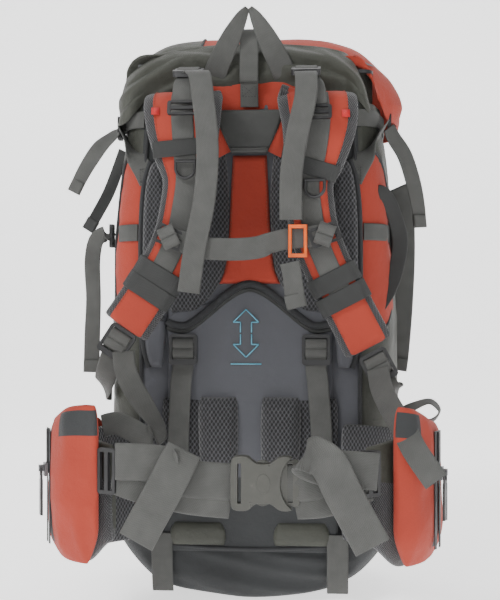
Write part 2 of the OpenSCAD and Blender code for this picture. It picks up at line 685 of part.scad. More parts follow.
module sternum_webbing() color(grey) from_back() {
    strip([web(-62, sternum_y - 4, 421), web(-40, sternum_y - 6, 416), web(-10, sternum_y - 7, 414),
        web(20, sternum_y - 6, 417), web(40, sternum_y - 4, 421), web(54, sternum_y - 3.6, 424),
        web(66, sternum_y - 3.6, 426)], webbing_thick, hint = [0, 0, 1], steps = 3);
    strip([web(52, sternum_y - 14, 399), web(55, sternum_y - 14, 378), web(60, sternum_y - 13, 352)],
        webbing_thick, steps = 2);
}

// ---- Hip belt: each wing curves about an upright axis ----
belt_y = -92;
belt_x = belt_spacing / 2;
wing_in = belt_radius - wing_thick / 2;
wing_out = belt_radius + wing_thick / 2;
tip_angle = 66;
// Each wing ends just clear of the back of the bag
root_clear = 5.65;
root_angle = asin((-belt_y - root_clear) / wing_out);
tip_x = belt_x + wing_out * cos(tip_angle);
tip_y = belt_y - wing_out * sin(tip_angle);
// The webbing and the buckle lie in front of the tips of the wings
belt_front = tip_y - 18.5;
module belt_side(side) from_back() translate([side * belt_x, belt_y, 0]) mirror([side < 0 ? 1 : 0, 0,
    0]) children();

// An upright wall that curves about the axis, from one angle to another
module wall(r0, r1, z0, z1, from, to) rotate([0, 0, from]) rotate_extrude(angle = to - from, $fn = 96)
    translate([r0, z0]) square([r1 - r0, z1 - z0]);

module hip_wing(side) belt_side(side) difference() {
    wall(wing_in, wing_out, wing_bottom, wing_top, -tip_angle, root_angle);
    translate([0, 0, wing_top - 8]) rotate([0, 0, -tip_angle]) rotate([14, 0, 0]) translate([0, -100,
        0]) cube([200, 140, 60]);
    translate([0, 0, wing_bottom + 14]) rotate([0, 0, -tip_angle]) rotate([-14, 0, 0]) translate([0, -100,
        -60]) cube([200, 140, 60]);
}

module hip_wing_left() color(olive) hip_wing(-1);
module hip_wing_right() color(olive) hip_wing(1);

pocket_in = wing_out + 0.3;
pocket_out = pocket_in + pocket_depth;
pocket_from = -42;
pocket_to = 46;
pocket_z0 = 80;
pocket_z1 = 230;

module hip_pockets() color(rust) for (side = [-1, 1]) belt_side(side) difference() {
    wall(pocket_in, pocket_out, pocket_z0, pocket_z1, pocket_from, pocket_to);
    wall(pocket_in + pocket_wall, pocket_out - pocket_wall, pocket_z0 + pocket_wall,
        pocket_z1 - pocket_wall,
        pocket_from + 2, pocket_to - 2);
    wall(pocket_out - pocket_wall - 1, pocket_out + 1, zip_z0 + 3, hip_slider_z - 10,
        zip_angle - slot_angle / 2, zip_angle + slot_angle / 2);
}

zip_angle = -24;
zip_z0 = 100;
zip_z1 = 222;
hip_slider_z = 178;
tape_angle = atan(zip_tape / pocket_out);
coil_angle = atan(zip_coil / pocket_out);
slot_angle = atan(zip_slot / pocket_out);
tape_r = pocket_out + 0.1;
coil_r = tape_r + tape_thick;
module hip_zips() color(black) for (side = [-1, 1]) belt_side(side) {
    wall(tape_r, coil_r, zip_z0, zip_z1, zip_angle - tape_angle / 2, zip_angle - slot_angle / 2);
    wall(tape_r, coil_r, zip_z0, zip_z1, zip_angle + slot_angle / 2, zip_angle + tape_angle / 2);
    wall(tape_r, coil_r, hip_slider_z - 4, zip_z1, zip_angle - slot_angle / 2, zip_angle + slot_angle / 2);
    wall(coil_r, coil_r + coil_height, hip_slider_z - 4, zip_z1 - 1,
        zip_angle - coil_angle / 2, zip_angle + coil_angle / 2);
}

// The slider's own Y points away from the axis of the pocket
module hip_zip_at(side) belt_side(side) rotate([0, 0, zip_angle - 90])
    translate([0, pocket_out + 0.1 + tape_thick, hip_slider_z]) children();
module hip_zip_slider_left() color(grey) hip_zip_at(-1) zip_slider(false);
module hip_zip_slider_right() color(grey) hip_zip_at(1) zip_slider(false);
module hip_zip_pull_left() color(black) hip_zip_at(-1) zip_pull(50);
module hip_zip_pull_right() color(black) hip_zip_at(1) zip_pull(50);

buckle_x = 36;
buckle_y = belt_front;
buckle_depth = 13;
module hip_buckle_female() color(olive) from_back() translate([buckle_x, buckle_y, buckle_height])
    buckle_female(hip_webbing_width, buckle_depth, prong_length);
module hip_buckle_male() color(olive) from_back() translate([buckle_x, buckle_y, buckle_height])
    buckle_male(hip_webbing_width, buckle_depth, prong_length);

female_bar_x = buckle_x - prong_length - 12;
male_bar_x = buckle_x + 18.5;
module hip_triglides() color(black) from_back() for (side = [-1, 1])
    translate([side * (tip_x + 0.6), tip_y - 11, buckle_height + 9])
        rotate([0, 0, side * 25]) rotate([0, 90, 0])
        tri_glide(hip_webbing_width, 22, 4);

module hip_belt_webbing() color(grey) from_back() {
    strip([hip(13.4 - tip_x, belt_front + 5, buckle_height + 9),
        hip(29.4 - tip_x, belt_front + 3, buckle_height + 7), hip(-60, belt_front, buckle_height + 3),
        hip(female_bar_x - 2, buckle_y, buckle_height)], webbing_thick, hint = [0, 0, 1], steps = 2);
    strip([[-50, belt_front - 4, 206, 30, 0], [-62, belt_front - 6, 184, 34, 0],
        [-78, belt_front - 6, 150, 36, 0], [-96, belt_front - 4, 112, 36, 0]],
        webbing_thick, steps = 2);
    strip([[86, belt_front - 9, 214, 30, 0], [100, belt_front - 10, 186, 34, 0],
        [120, belt_front - 10, 150, 36, 0], [142, belt_front - 6, 112, 36, 0]],
        webbing_thick, steps = 2);
}

module hip_buckle_webbing() color(grey) from_back()
    strip([hip(male_bar_x + 1, buckle_y, buckle_height), hip(72, belt_front, buckle_height + 1),
        hip(96, belt_front + 2, buckle_height + 6), hip(tip_x - 15.4, belt_front + 4.5, buckle_height + 9)],
        webbing_thick, hint = [0, 0, 1], steps = 2);

// ---- Side compression straps ----
upper_strap = 572;
lower_strap = 438;
strap_gap = webbing_thick / 2 + 1.2;
side_web = 20;
function side_row(side, y, z) = [side * (side_x(z) + strap_gap), y, z, side_web, 0];
// A point of a loose end, some way out from the side of the bag
function out_row(out, y, z, turn) = [out + sign(out) * half_width, y, z, side_web, turn];

module compression_straps() color(grey) from_back() {
    for (side = [-1, 1], z = [upper_strap, lower_strap])
        strip([side_row(side, 36, z), side_row(side, 80, z), side_row(side, front_line, z)], webbing_thick,
            hint = [0, 0, 1], steps = 1);
    strip([out_row(-10, 50, 562, 0), out_row(-16, 60, 548, 10), out_row(-36, 66, 528, 20),
        out_row(-56, 70, 498, 20)], webbing_thick, steps = 2);
    strip([out_row(-20, 60, 423, 0), out_row(-24, 66, 405, 0), out_row(-30, 70, 360, 10),
        out_row(-34, 72, 275, 10)], webbing_thick, steps = 2);
    strip([out_row(10, 50, 562, 0), out_row(13, 60, 545, -10), out_row(23, 66, 500, -20),
        out_row(32, 70, 448, -20)], webbing_thick, steps = 2);
    strip([out_row(20, 60, 423, 0), out_row(18, 66, 400, 0), out_row(18, 70, 350, -10),
        out_row(15, 70, 275, -10)], webbing_thick, steps = 2);
}

module compression_locks() color(black) from_back() for (side = [-1, 1], z = [upper_strap, lower_strap])
    translate([side * (side_x(z) + strap_gap + 6), 66, z]) rotate([0, 0, 90]) rotate([0, 90, 0])
        tri_glide(side_web, 18, 4);

module bottom_straps() color(grey) from_back() for (side = [-1, 1])
    strip([web(side * 103, lumbar_y - 1.4, 74), web(side * 103, lumbar_y - 6, 60), web(side * 103,
        lumbar_y - 7, 40),
        web(side * 103, -3, 22), web(side * 103, -1.6, 16)], webbing_thick, steps = 2);

// ---- Haul loop ----
loop_web = 22;
haul_pivot = 620;
module haul_loop() color(grey) from_back()
    strip([[-41, -4, haul_pivot, loop_web, 90], [-36, -13, 641, loop_web, 80], [-22, -20, 672, loop_web,
        40],
        [-7, -24, 692, loop_web - 4, 8], [0, -24, 696, loop_web - 4, 0], [7, -24, 692, loop_web - 4, -8],
        [22, -20, 672, loop_web, -40], [36, -13, 641, loop_web, -80], [41, -4, haul_pivot, loop_web, -90]],
        webbing_thick, hint = [0, 1, 0], steps = 3);

back_panel();
side_panels();
front_panel();
base_panel();
collar();
drawcord();
lid_rear_panel();
frame_sheet();
frame_stays();
back_pads();
lumbar_panel();
lumbar_pads();
hip_wing_left();
hip_wing_right();
hip_pockets();
hip_zips();
hip_triglides();
hip_belt_webbing();
hip_buckle_webbing();
hip_buckle_female();
load_lifter_locks();
load_lifter_tails();
centre_strap();
centre_buckle();
compression_straps();
compression_locks();
bottom_straps();
front_pocket();
lid_strap_anchors();
lid_buckle_males();
haul_loop();
lid_top();
lid_floor();
lid_zip();
lid_straps();
lid_buckle_females();
lid_zip_slider();
lid_zip_pull();
hip_zip_slider_left();
hip_zip_slider_right();
hip_zip_pull_left();
hip_zip_pull_right();
hip_buckle_male();
harness_plate();
yoke();
back_flap();
spine_panel();
mesh_panels();
piping_arch();
shoulder_strap_left();
shoulder_strap_right();
strap_webbing();
strap_bands();
strap_locks();
adjuster_webbing();
d_ring_left();
d_ring_right();
sternum_sliders();
sternum_webbing();
sternum_hook();
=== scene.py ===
"""A framed travel backpack, seen from its harness side."""
import math

import bmesh
import bpy
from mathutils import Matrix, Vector, noise


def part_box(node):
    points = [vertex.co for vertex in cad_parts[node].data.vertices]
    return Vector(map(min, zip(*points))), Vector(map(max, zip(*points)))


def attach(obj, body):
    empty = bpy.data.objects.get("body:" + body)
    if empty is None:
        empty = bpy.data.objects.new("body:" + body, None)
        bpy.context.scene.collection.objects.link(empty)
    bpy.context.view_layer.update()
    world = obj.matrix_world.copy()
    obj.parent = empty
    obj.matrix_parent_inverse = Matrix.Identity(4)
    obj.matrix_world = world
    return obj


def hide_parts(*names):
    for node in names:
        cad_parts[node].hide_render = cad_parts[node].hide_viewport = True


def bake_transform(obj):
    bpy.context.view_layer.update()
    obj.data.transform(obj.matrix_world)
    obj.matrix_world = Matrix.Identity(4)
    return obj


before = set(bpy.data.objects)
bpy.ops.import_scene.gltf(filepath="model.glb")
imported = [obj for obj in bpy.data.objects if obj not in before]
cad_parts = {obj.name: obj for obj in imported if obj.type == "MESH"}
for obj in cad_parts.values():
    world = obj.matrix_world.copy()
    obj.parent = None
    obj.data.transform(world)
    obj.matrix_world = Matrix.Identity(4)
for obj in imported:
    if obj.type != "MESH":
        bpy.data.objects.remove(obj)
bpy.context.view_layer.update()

MM = 0.001
BACK_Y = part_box("back_panel")[0][1]
HALF_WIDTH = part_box("base_panel")[1][0] / MM
MOUTH_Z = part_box("back_panel")[1][2] / MM
BAG_DEPTH = (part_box("front_panel")[1][1] - BACK_Y) / MM
UP = Vector((0, 0, 1))
SIDES = (-1, 1)
HANDS = ((-1, "left"), (1, "right"))


def at(x, y, z):
    """A point in millimetres, with y counted from the plane of the back."""
    return Vector((x * MM, BACK_Y + y * MM, z * MM))


def measured(p):
    """The same point back in millimetres."""
    return p.x / MM, (p.y - BACK_Y) / MM, p.z / MM


def clamp(value, low=0.0, high=1.0):
    return max(low, min(high, value))


def ease(value, start, end):
    t = clamp((value - start) / (end - start))
    return t * t * (3 - 2 * t)


def mix(a, b, t):
    return a + (b - a) * t


def ripple(x, y, z, scale, seed=0.0):
    """Smooth noise between about -1 and 1, over features of the given size in millimetres."""
    return noise.noise(Vector((x / scale + seed, y / scale - seed, z / scale + 2 * seed)))


def crease(x, y, z, scale, seed=0.0):
    """Sharp folds: near 1 along a fold and falling away on both sides."""
    return 1 - min(1.0, 2.4 * abs(ripple(x, y, z, scale, seed)))


# ---------------------------------------------------------------- materials
class Nodes:
    """A small helper for building a material's node tree."""

    def __init__(self, name):
        self.material = bpy.data.materials.new(name)
        self.material.use_nodes = True
        self.tree = self.material.node_tree
        self.shader = self.tree.nodes["Principled BSDF"]

    def add(self, kind, **values):
        node = self.tree.nodes.new(kind)
        for key, value in values.items():
            if hasattr(node, key):
                setattr(node, key, value)
            else:
                node.inputs[key.replace("_", " ")].default_value = value
        return node

    def link(self, output, target):
        self.tree.links.new(output, target)

    def coords(self, kind="Object", scale=(1, 1, 1)):
        source = self.add("ShaderNodeTexCoord")
        mapping = self.add("ShaderNodeMapping")
        mapping.inputs["Scale"].default_value = scale
        self.link(source.outputs[kind], mapping.inputs["Vector"])
        return mapping.outputs["Vector"]

    def noise(self, coords, scale, detail=3.0, rough=0.55):
        node = self.add("ShaderNodeTexNoise", Scale=scale, Detail=detail, Roughness=rough)
        self.link(coords, node.inputs["Vector"])
        return node.outputs["Fac"]

    def wave(self, coords, scale, direction="X", profile="SIN"):
        node = self.add("ShaderNodeTexWave", Scale=scale, bands_direction=direction, wave_profile=profile)
        self.link(coords, node.inputs["Vector"])
        return node.outputs["Fac"]

    def math(self, kind, a, b=None):
        node = self.add("ShaderNodeMath", operation=kind)
        for socket, value in zip(node.inputs, (a, b)):
            if value is None:
                continue
            if isinstance(value, (int, float)):
                socket.default_value = value
            else:
                self.link(value, socket)
        return node.outputs[0]

    def ramp(self, fac, stops):
        node = self.add("ShaderNodeValToRGB")
        elements = node.color_ramp.elements
        while len(elements) < len(stops):
            elements.new(0.5)
        for element, (place, colour) in zip(elements, stops):
            element.position = place
            element.color = (*colour, 1)
        self.link(fac, node.inputs["Fac"])
        return node.outputs["Color"]

    def bump(self, height, distance, strength=1.0, normal=None):
        node = self.add("ShaderNodeBump", Strength=strength, Distance=distance)
        self.link(height, node.inputs["Height"])
        if normal:
            self.link(normal, node.inputs["Normal"])
        return node.outputs["Normal"]

    def finish(self, colour=None, normal=None, roughness=None, **shader):
        if colour is not None:
            self.link(colour, self.shader.inputs["Base Color"])
        if normal is not None:
            self.link(normal, self.shader.inputs["Normal"])
        if roughness is not None:
            self.link(roughness, self.shader.inputs["Roughness"])
        for key, value in shader.items():
            self.shader.inputs[key.replace("_", " ")].default_value = value
        return self.material


def tone(colour, factor):
    return tuple(clamp(channel * factor) for channel in colour)


def woven(name, colour, pitch=0.9, spread=0.22, crumple=0.5, rough=0.8, sheen=0.08):
    """Coated pack cloth: a fine weave, soft mottling and small crumples."""
    n = Nodes(name)
    here = n.coords()
    weave = n.coords("UV", (1 / (pitch * MM), 1 / (pitch * MM), 1))
    warp = n.wave(weave, 0.5, "X")
    weft = n.wave(weave, 0.5, "Y")
    cloth = n.math("MAXIMUM", warp, weft)
    mottle = n.math("ADD", n.math("MULTIPLY", n.noise(here, 9), 0.7), n.math("MULTIPLY",
        n.noise(here, 700, 2), 0.3))
    base = n.ramp(mottle, [(0.25, tone(colour, 1 - spread)), (0.75, tone(colour, 1 + spread))])
    crumples = n.bump(n.noise(here, 38, 5), 0.004, crumple)
    threads = n.bump(cloth, 0.0002, 0.5, crumples)
    return n.finish(base, threads, Roughness=rough, Sheen_Weight=sheen, Sheen_Roughness=0.5)


def webbing(name, colour, pitch=1.5):
    """Narrow nylon webbing: ribs across it and a firm edge along both sides."""
    n = Nodes(name)
    here = n.coords()
    strip = n.coords("UV", (1 / (pitch * MM), 1 / (pitch * MM), 1))
    ribs = n.wave(strip, 0.5, "Y")
    cords = n.wave(strip, 0.32, "X")
    twill = n.wave(strip, 0.38, "DIAGONAL")
    relief = n.math("ADD", n.math("MULTIPLY", ribs, 0.6), n.math("MULTIPLY", n.math("ADD", cords, twill),
        0.3))
    mottle = n.math("ADD", n.math("MULTIPLY", relief, 0.45), n.math("MULTIPLY", n.noise(here, 60, 4), 0.6))
    base = n.ramp(mottle, [(0.2, tone(colour, 0.62)), (0.85, tone(colour, 1.28))])
    normal = n.bump(relief, 0.0005, 0.8, n.bump(n.noise(here, 25), 0.003, 0.3))
    return n.finish(base, normal, Roughness=0.66, Sheen_Weight=0.06, Sheen_Roughness=0.45)


def spacer_mesh(name, colour, hole=3.2):
    """Breathable knitted mesh: rows of open cells over a dark layer."""
    n = Nodes(name)
    here = n.coords()
    cells = n.add("ShaderNodeTexVoronoi", feature="F1", Scale=1 / (hole * MM), Randomness=0.08)
    turned = n.add("ShaderNodeMapping")
    turned.inputs["Rotation"].default_value = (0, 0, math.radians(45))
    n.link(n.coords("UV", (1.35, 0.9, 1)), turned.inputs["Vector"])
    n.link(turned.outputs["Vector"], cells.inputs["Vector"])
    depth = cells.outputs["Distance"]
    base = n.ramp(depth, [(0.24, tone(colour, 0.1)), (0.40, tone(colour, 0.9)), (0.58, tone(colour, 2.3))])
    soft = n.bump(n.noise(here, 20), 0.004, 0.4)
    return n.finish(base, n.bump(depth, 0.0016, 1.0, soft), Roughness=0.8, Sheen_Weight=0.3)


def moulded(name, colour, rough=0.42, grain=900):
    """Moulded plastic: a fine grain, scuffs and a little unevenness."""
    n = Nodes(name)
    here = n.coords()
    scuffs = n.noise(here, 90, 6, 0.7)
    base = n.ramp(scuffs, [(0.3, tone(colour, 0.8)), (0.62, colour), (0.8, tone(colour, 1.7))])
    polish = n.ramp(n.noise(here, 55, 4), [(0.3, (rough * 0.75,) * 3), (0.75, (rough * 1.35,) * 3)])
    normal = n.bump(n.noise(here, grain, 2), 0.0001, 0.4)
    return n.finish(base, normal, polish, Specular_IOR_Level=0.55)


def metal(name, colour, rough=0.32):
    """Brushed metal, streaked along its length."""
    n = Nodes(name)
    streaks = n.noise(n.coords(scale=(900, 900, 12)), 1, 3)
    base = n.ramp(streaks, [(0.3, tone(colour, 0.75)), (0.7, colour)])
    return n.finish(base, n.bump(streaks, 0.0001, 0.5), Metallic=1.0, Roughness=rough)


def thread(name, colour):
    """Sewing thread and embroidery."""
    n = Nodes(name)
    twist = n.wave(n.coords(scale=(1, 1, 1)), 700, "DIAGONAL")
    base = n.ramp(twist, [(0.2, tone(colour, 0.7)), (0.8, tone(colour, 1.15))])
    return n.finish(base, n.bump(twist, 0.0002, 0.5), Roughness=0.6)


RUST = woven("rust_cloth", (0.37, 0.037, 0.017), spread=0.16, crumple=0.6)
RUST_STRAP = woven("rust_strap_cloth", (0.37, 0.037, 0.017), spread=0.12, crumple=0.3)
OLIVE = woven("olive_cloth", (0.038, 0.040, 0.030), spread=0.3, crumple=0.8, rough=0.6)
SLATE = woven("slate_cloth", (0.082, 0.084, 0.095), pitch=1.2, spread=0.12, crumple=0.25)
CHARCOAL = woven("charcoal_cloth", (0.028, 0.03, 0.031), spread=0.25)
LINING = woven("lining_cloth", (0.16, 0.165, 0.17), pitch=0.6, crumple=0.8)
MESH = spacer_mesh("spacer_mesh", (0.032, 0.032, 0.035), hole=4.6)
FINE_MESH = spacer_mesh("edge_mesh", (0.035, 0.035, 0.037), hole=2.2)
WEB = webbing("grey_webbing", (0.076, 0.077, 0.072))
DARK_WEB = webbing("dark_webbing", (0.028, 0.029, 0.028))
BINDING = webbing("binding_tape", (0.026, 0.027, 0.029), pitch=0.9)
RUBBER = moulded("dark_rubber", (0.04, 0.041, 0.038), rough=0.5, grain=500)
BLACK = moulded("black_plastic", (0.014, 0.014, 0.015))
GUNMETAL = moulded("olive_plastic", (0.055, 0.055, 0.046), rough=0.36)
ORANGE = moulded("orange_plastic", (0.82, 0.13, 0.012), rough=0.34)
ALUMINIUM = metal("brushed_aluminium", (0.72, 0.73, 0.75))
ZIP_METAL = metal("dark_zip_metal", (0.16, 0.16, 0.165), rough=0.4)
ZIP_TEETH = moulded("zip_coil", (0.02, 0.02, 0.021), rough=0.5)
RED_THREAD = thread("red_thread", (0.62, 0.02, 0.02))
BLUE_THREAD = thread("blue_thread", (0.16, 0.5, 0.66))
DARK_THREAD = thread("dark_thread", (0.03, 0.03, 0.03))
RUST_THREAD = thread("rust_thread", (0.3, 0.05, 0.02))


# ---------------------------------------------------------------- mesh tools
def make(name, points, faces, materials, uvs=None, slots=None, smooth=True):
    """A mesh object. uvs has one pair for each point, and slots one material number for each face."""
    mesh = bpy.data.meshes.new(name)
    mesh.from_pydata([tuple(p) for p in points], [], faces)
    for material in materials:
        mesh.materials.append(material)
    if uvs:
        layer = mesh.uv_layers.new(name="cloth")
        for loop in mesh.loops:
            layer.data[loop.index].uv = uvs[loop.vertex_index]
    for face in mesh.polygons:
        face.use_smooth = smooth
        if slots:
            face.material_index = slots[face.index]
    mesh.update()
    obj = bpy.data.objects.new(name, mesh)
    bpy.context.scene.collection.objects.link(obj)
    return obj


def surface(name, rows, materials, closed=False, slot=None, uvs=None, flip=False, caps=False):
    """A sheet through rows of points. slot(row, column) picks each face's material."""
    height = len(rows)
    width = len(rows[0])
    points = [p for row in rows for p in row]
    if uvs is None:
        uvs = grid_uvs(rows)
    else:
        uvs = [uv for row in uvs for uv in row]
    faces = []
    slots = []
    for r in range(height - 1):
        for c in range(width if closed else width - 1):
            a = r * width + c
            b = r * width + (c + 1) % width
            quad = (a, b, b + width, a + width)
            faces.append(quad[::-1] if flip else quad)
            slots.append(slot(r, c) if slot else 0)
    if caps:
        first = tuple(range(width))
        last = tuple(range((height - 1) * width, height * width))
        faces += [first if flip else first[::-1], last[::-1] if flip else last]
        slots += [0, 0]
    return make(name, points, faces, materials, uvs, slots)


def face_centre(rows, r, c):
    """The middle of one face of a closed surface, in millimetres."""
    return measured((rows[r][c] + rows[r + 1][(c + 1) % len(rows[r])]) / 2)


def grid_uvs(rows):
    """Distances along the rows and columns, in metres."""
    uvs = []
    down = 0.0
    for r, row in enumerate(rows):
        if r:
            down += (row[len(row) // 2] - rows[r - 1][len(row) // 2]).length
        along = 0.0
        for c, point in enumerate(row):
            if c:
                along += (point - row[c - 1]).length
            uvs.append((along, down))
    return uvs


def thicken(obj, thick, offset=-1.0):
    """Gives a surface the thickness of its cloth."""
    m = obj.modifiers.new("thickness", "SOLIDIFY")
    m.thickness = thick * MM
    m.offset = offset
    m.use_rim = True
    return settle(obj)


def smooth(obj):
    """Rounds a mesh by one level of subdivision."""
    m = obj.modifiers.new("smooth", "SUBSURF")
    m.levels = 1
    m.render_levels = 1
    return settle(obj)


def settle(obj):
    """Applies an object's modifiers to its mesh."""
    bpy.context.view_layer.update()
    graph = bpy.context.evaluated_depsgraph_get()
    mesh = bpy.data.meshes.new_from_object(obj.evaluated_get(graph))
    old = obj.data
    obj.modifiers.clear()
    obj.data = mesh
    bpy.data.meshes.remove(old)
    return obj


def joined(name, *objs):
    """Several mesh objects as one piece, with their modifiers applied."""
    for obj in objs:
        if obj.modifiers:
            settle(obj)
    with bpy.context.temp_override(active_object=objs[0], selected_editable_objects=list(objs),
            selected_objects=list(objs)):
        bpy.ops.object.join()
    objs[0].name = name
    return objs[0]


def place(obj, body, slot, *nodes):
    """The piece rides on a body and stands for its CAD nodes; slot is not used."""
    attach(obj, body)
    if nodes:
        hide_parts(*nodes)
    return obj


# ---------------------------------------------------------------- routes
def between(a, b, c, d, t):
    """A smooth step from b towards c, led by the rows on both sides of them."""
    values = []
    for p, q, r, w in zip(a, b, c, d):
        bend = (2 * p - 5 * q + 4 * r - w) * t * t
        values.append(0.5 * (2 * q + (r - p) * t + bend + (3 * q - p - 3 * r + w) * t ** 3))
    return values


def spline(rows, steps):
    """Points of any number of values, joined by a smooth curve."""
    line = []
    last = len(rows) - 1
    for i in range(last):
        a, b, c, d = (rows[clamp(i + k, 0, last)] for k in (-1, 0, 1, 2))
        for s in range(steps):
            t = s / steps
            line.append(between(a, b, c, d, t))
    line.append(list(rows[-1]))
    return line


def frames(line, hint):
    """Position, flat direction, face direction and distance along, for each row of a line."""
    result = []
    travelled = 0.0
    for i, row in enumerate(line):
        here = at(*row[:3])
        before = at(*line[max(0, i - 1)][:3])
        after = at(*line[min(len(line) - 1, i + 1)][:3])
        heading = (after - before).normalized()
        flat = (hint - hint.dot(heading) * heading).normalized()
        up = heading.cross(flat)
        turn = math.radians(row[4])
        side = math.cos(turn) * flat + math.sin(turn) * up
        if i:
            travelled += (here - at(*line[i - 1][:3])).length
        result.append((here, side, heading.cross(side), travelled))
    return result


WEB_SECTION = [(-1, 0.0), (-0.96, 0.8), (-0.84, 1.0), (-0.5, 0.9), (0, 1.0), (0.5, 0.9), (0.84, 1.0),
    (0.96, 0.8), (1, 0.0), (0.96, -0.8), (0.84, -1.0), (0.5, -0.9), (0, -1.0), (-0.5, -0.9), (-0.84, -1.0),
    (-0.96, -0.8)]


def hose_faces(rings, count):
    """Faces of a skin over rings of points, shut at both ends."""
    faces = []
    for i in range(rings - 1):
        for j in range(count):
            a = i * count + j
            b = i * count + (j + 1) % count
            faces.append((a, a + count, b + count, b))
    faces.append(tuple(range(count)))
    faces.append(tuple(reversed(range((rings - 1) * count, rings * count))))
    return faces


def strip(name, route, thick, material, hint=Vector((1, 0, 0)), lift=0.0, steps=6, wander=0.5,
        section=WEB_SECTION):
    """Webbing that follows a route of rows: x, y, z, width and turn."""
    line = spline(route, steps)
    points = []
    uvs = []
    for i, (here, side, face, far) in enumerate(frames(line, hint)):
        half = line[i][3] / 2 * MM
        wave = wander * MM * noise.noise(Vector((far * 14, len(name) * 1.7, route[0][0] * 0.1)))
        for u, v in section:
            points.append(here + side * (u * half) + face * (v * thick / 2 * MM + lift * MM + wave))
            uvs.append((u * half, far))
    return make(name, points, hose_faces(len(line), len(section)), [material], uvs)


def tube(name, route, radius, material, sides=8, steps=4, closed=False, taper=None):
    """A round cord or piping along a route of x, y, z rows."""
    rows = [list(p[:3]) + [0, 0] for p in route]
    line = spline(rows, steps)
    centres = [at(*row[:3]) for row in line]
    points = []
    uvs = []
    far = 0.0
    last_side = None
    for i, here in enumerate(centres):
        heading = (centres[min(len(centres) - 1, i + 1)] - centres[max(0, i - 1)]).normalized()
        if last_side is None:
            guess = UP if abs(heading.z) < 0.9 else Vector((1, 0, 0))
        else:
            guess = last_side
        side = (guess - guess.dot(heading) * heading).normalized()
        last_side = side
        up = heading.cross(side)
        if i:
            far += (here - centres[i - 1]).length
        size = radius * MM * (taper(i / (len(centres) - 1)) if taper else 1)
        for s in range(sides):
            angle = 2 * math.pi * s / sides
            points.append(here + size * (math.cos(angle) * side + math.sin(angle) * up))
            uvs.append((radius * MM * angle, far))
    faces = []
    for i in range(len(centres) - 1):
        for s in range(sides):
            a = i * sides + s
            b = i * sides + (s + 1) % sides
            faces.append((a, b, b + sides, a + sides))
    if not closed:
        faces.append(tuple(reversed(range(sides))))
        faces.append(tuple(range((len(centres) - 1) * sides, len(centres) * sides)))
    return make(name, points, faces, [material], uvs)


def stitches(name, path, material, length=2.6, gap=1.6, radius=0.45):
    """A row of thread stitches along points in metres, each a small rounded bar."""
    points = []
    faces = []
    span = length * MM
    step = (length + gap) * MM
    carry = 0.0
    ring = 5
    for a, b in zip(path, path[1:]):
        heading = b - a
        total = heading.length
        if total < 1e-7:
            continue
        heading /= total
        guess = UP if abs(heading.z) < 0.9 else Vector((1, 0, 0))
        side = heading.cross(guess).normalized()
        up = heading.cross(side)
        place_at = carry
        while place_at + span <= total + span * 0.5:
            start = a + heading * place_at
            base = len(points)
            for t, size in ((0, 0.4), (0.2, 1), (0.8, 1), (1, 0.4)):
                for s in range(ring):
                    angle = 2 * math.pi * s / ring
                    points.append(start + heading * (span * t) + (side * math.cos(angle)
                        + up * math.sin(angle)) * (radius * MM * size))
            for i in range(3):
                for s in range(ring):
                    c = base + i * ring + s
                    d = base + i * ring + (s + 1) % ring
                    faces.append((c, d, d + ring, c + ring))
            faces.append(tuple(base + s for s in reversed(range(ring))))
            faces.append(tuple(base + 3 * ring + s for s in range(ring)))
            place_at += step
        carry = max(0.0, place_at - total)
    return make(name, points, faces, [material])


def dress(node, material, bevel=0.5, segments=2):
    """A CAD node keeps its shape and takes a material and softened edges."""
    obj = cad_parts[node]
    obj.data.materials.clear()
    obj.data.materials.append(material)
    for face in obj.data.polygons:
        face.material_index = 0
    if bevel:
        m = obj.modifiers.new("soft_edges", "BEVEL")
        m.width = bevel * MM
        m.segments = segments
        m.limit_method = "ANGLE"
        m.angle_limit = math.radians(35)
        m.harden_normals = False
    return obj


# ---------------------------------------------------------------- the bag
SHOULDER_Z = 430
MOUTH_HALF = 157
FRONT_R = 65
REAR_R = 28
BASE_R = 62
LEAN = (HALF_WIDTH - MOUTH_HALF) / (MOUTH_Z - SHOULDER_Z)


def plan_ring(half, y0, y1, rear, front, dense=1):
    """Points and outward directions round a rounded plan, starting behind the middle of the back."""
    ring = []

    def line(a, b, out, count):
        for i in range(count * dense):
            t = i / (count * dense)
            ring.append((mix(a[0], b[0], t), mix(a[1], b[1], t), out))

    def arc(cx, cy, radius, start, end, count):
        for i in range(count * dense):
            angle = math.radians(mix(start, end, i / (count * dense)))
            out = (math.cos(angle), math.sin(angle))
            ring.append((cx + radius * out[0], cy + radius * out[1], out))

    line((0, y0), (half - rear, y0), (0, -1), 12)
    arc(half - rear, y0 + rear, rear, -90, 0, 8)
    line((half, y0 + rear), (half, y1 - front), (1, 0), 18)
    arc(half - front, y1 - front, front, 0, 90, 12)
    line((half - front, y1), (front - half, y1), (0, 1), 22)
    arc(front - half, y1 - front, front, 90, 180, 12)
    line((-half, y1 - front), (-half, y0 + rear), (-1, 0), 18)
    arc(rear - half, y0 + rear, rear, 180, 270, 8)
    line((rear - half, y0), (0, y0), (0, -1), 12)
    return ring


LEAF_Y = 8
LEAF_REACH = {-1: 30, 1: 44}
LEAF_Z = 428
LEAF_RISE = 106


def bag_half(z):
    if z < BASE_R:
        return HALF_WIDTH - BASE_R + math.sqrt(max(0.0, BASE_R ** 2 - (BASE_R - z) ** 2))
    return HALF_WIDTH - LEAN * max(0, z - SHOULDER_Z)


def cinch(x, y, z):
    """How far a strap holds the cloth in, from 0 to 1."""
    if y > BAG_DEPTH - 30:
        return ease(z, 420, 450) * math.exp(-((abs(x) - 72) / 20) ** 2)
    return (math.exp(-((z - 572) / 18) ** 2) + math.exp(-((z - 438) / 18) ** 2)) * ease(y, 24, 40)


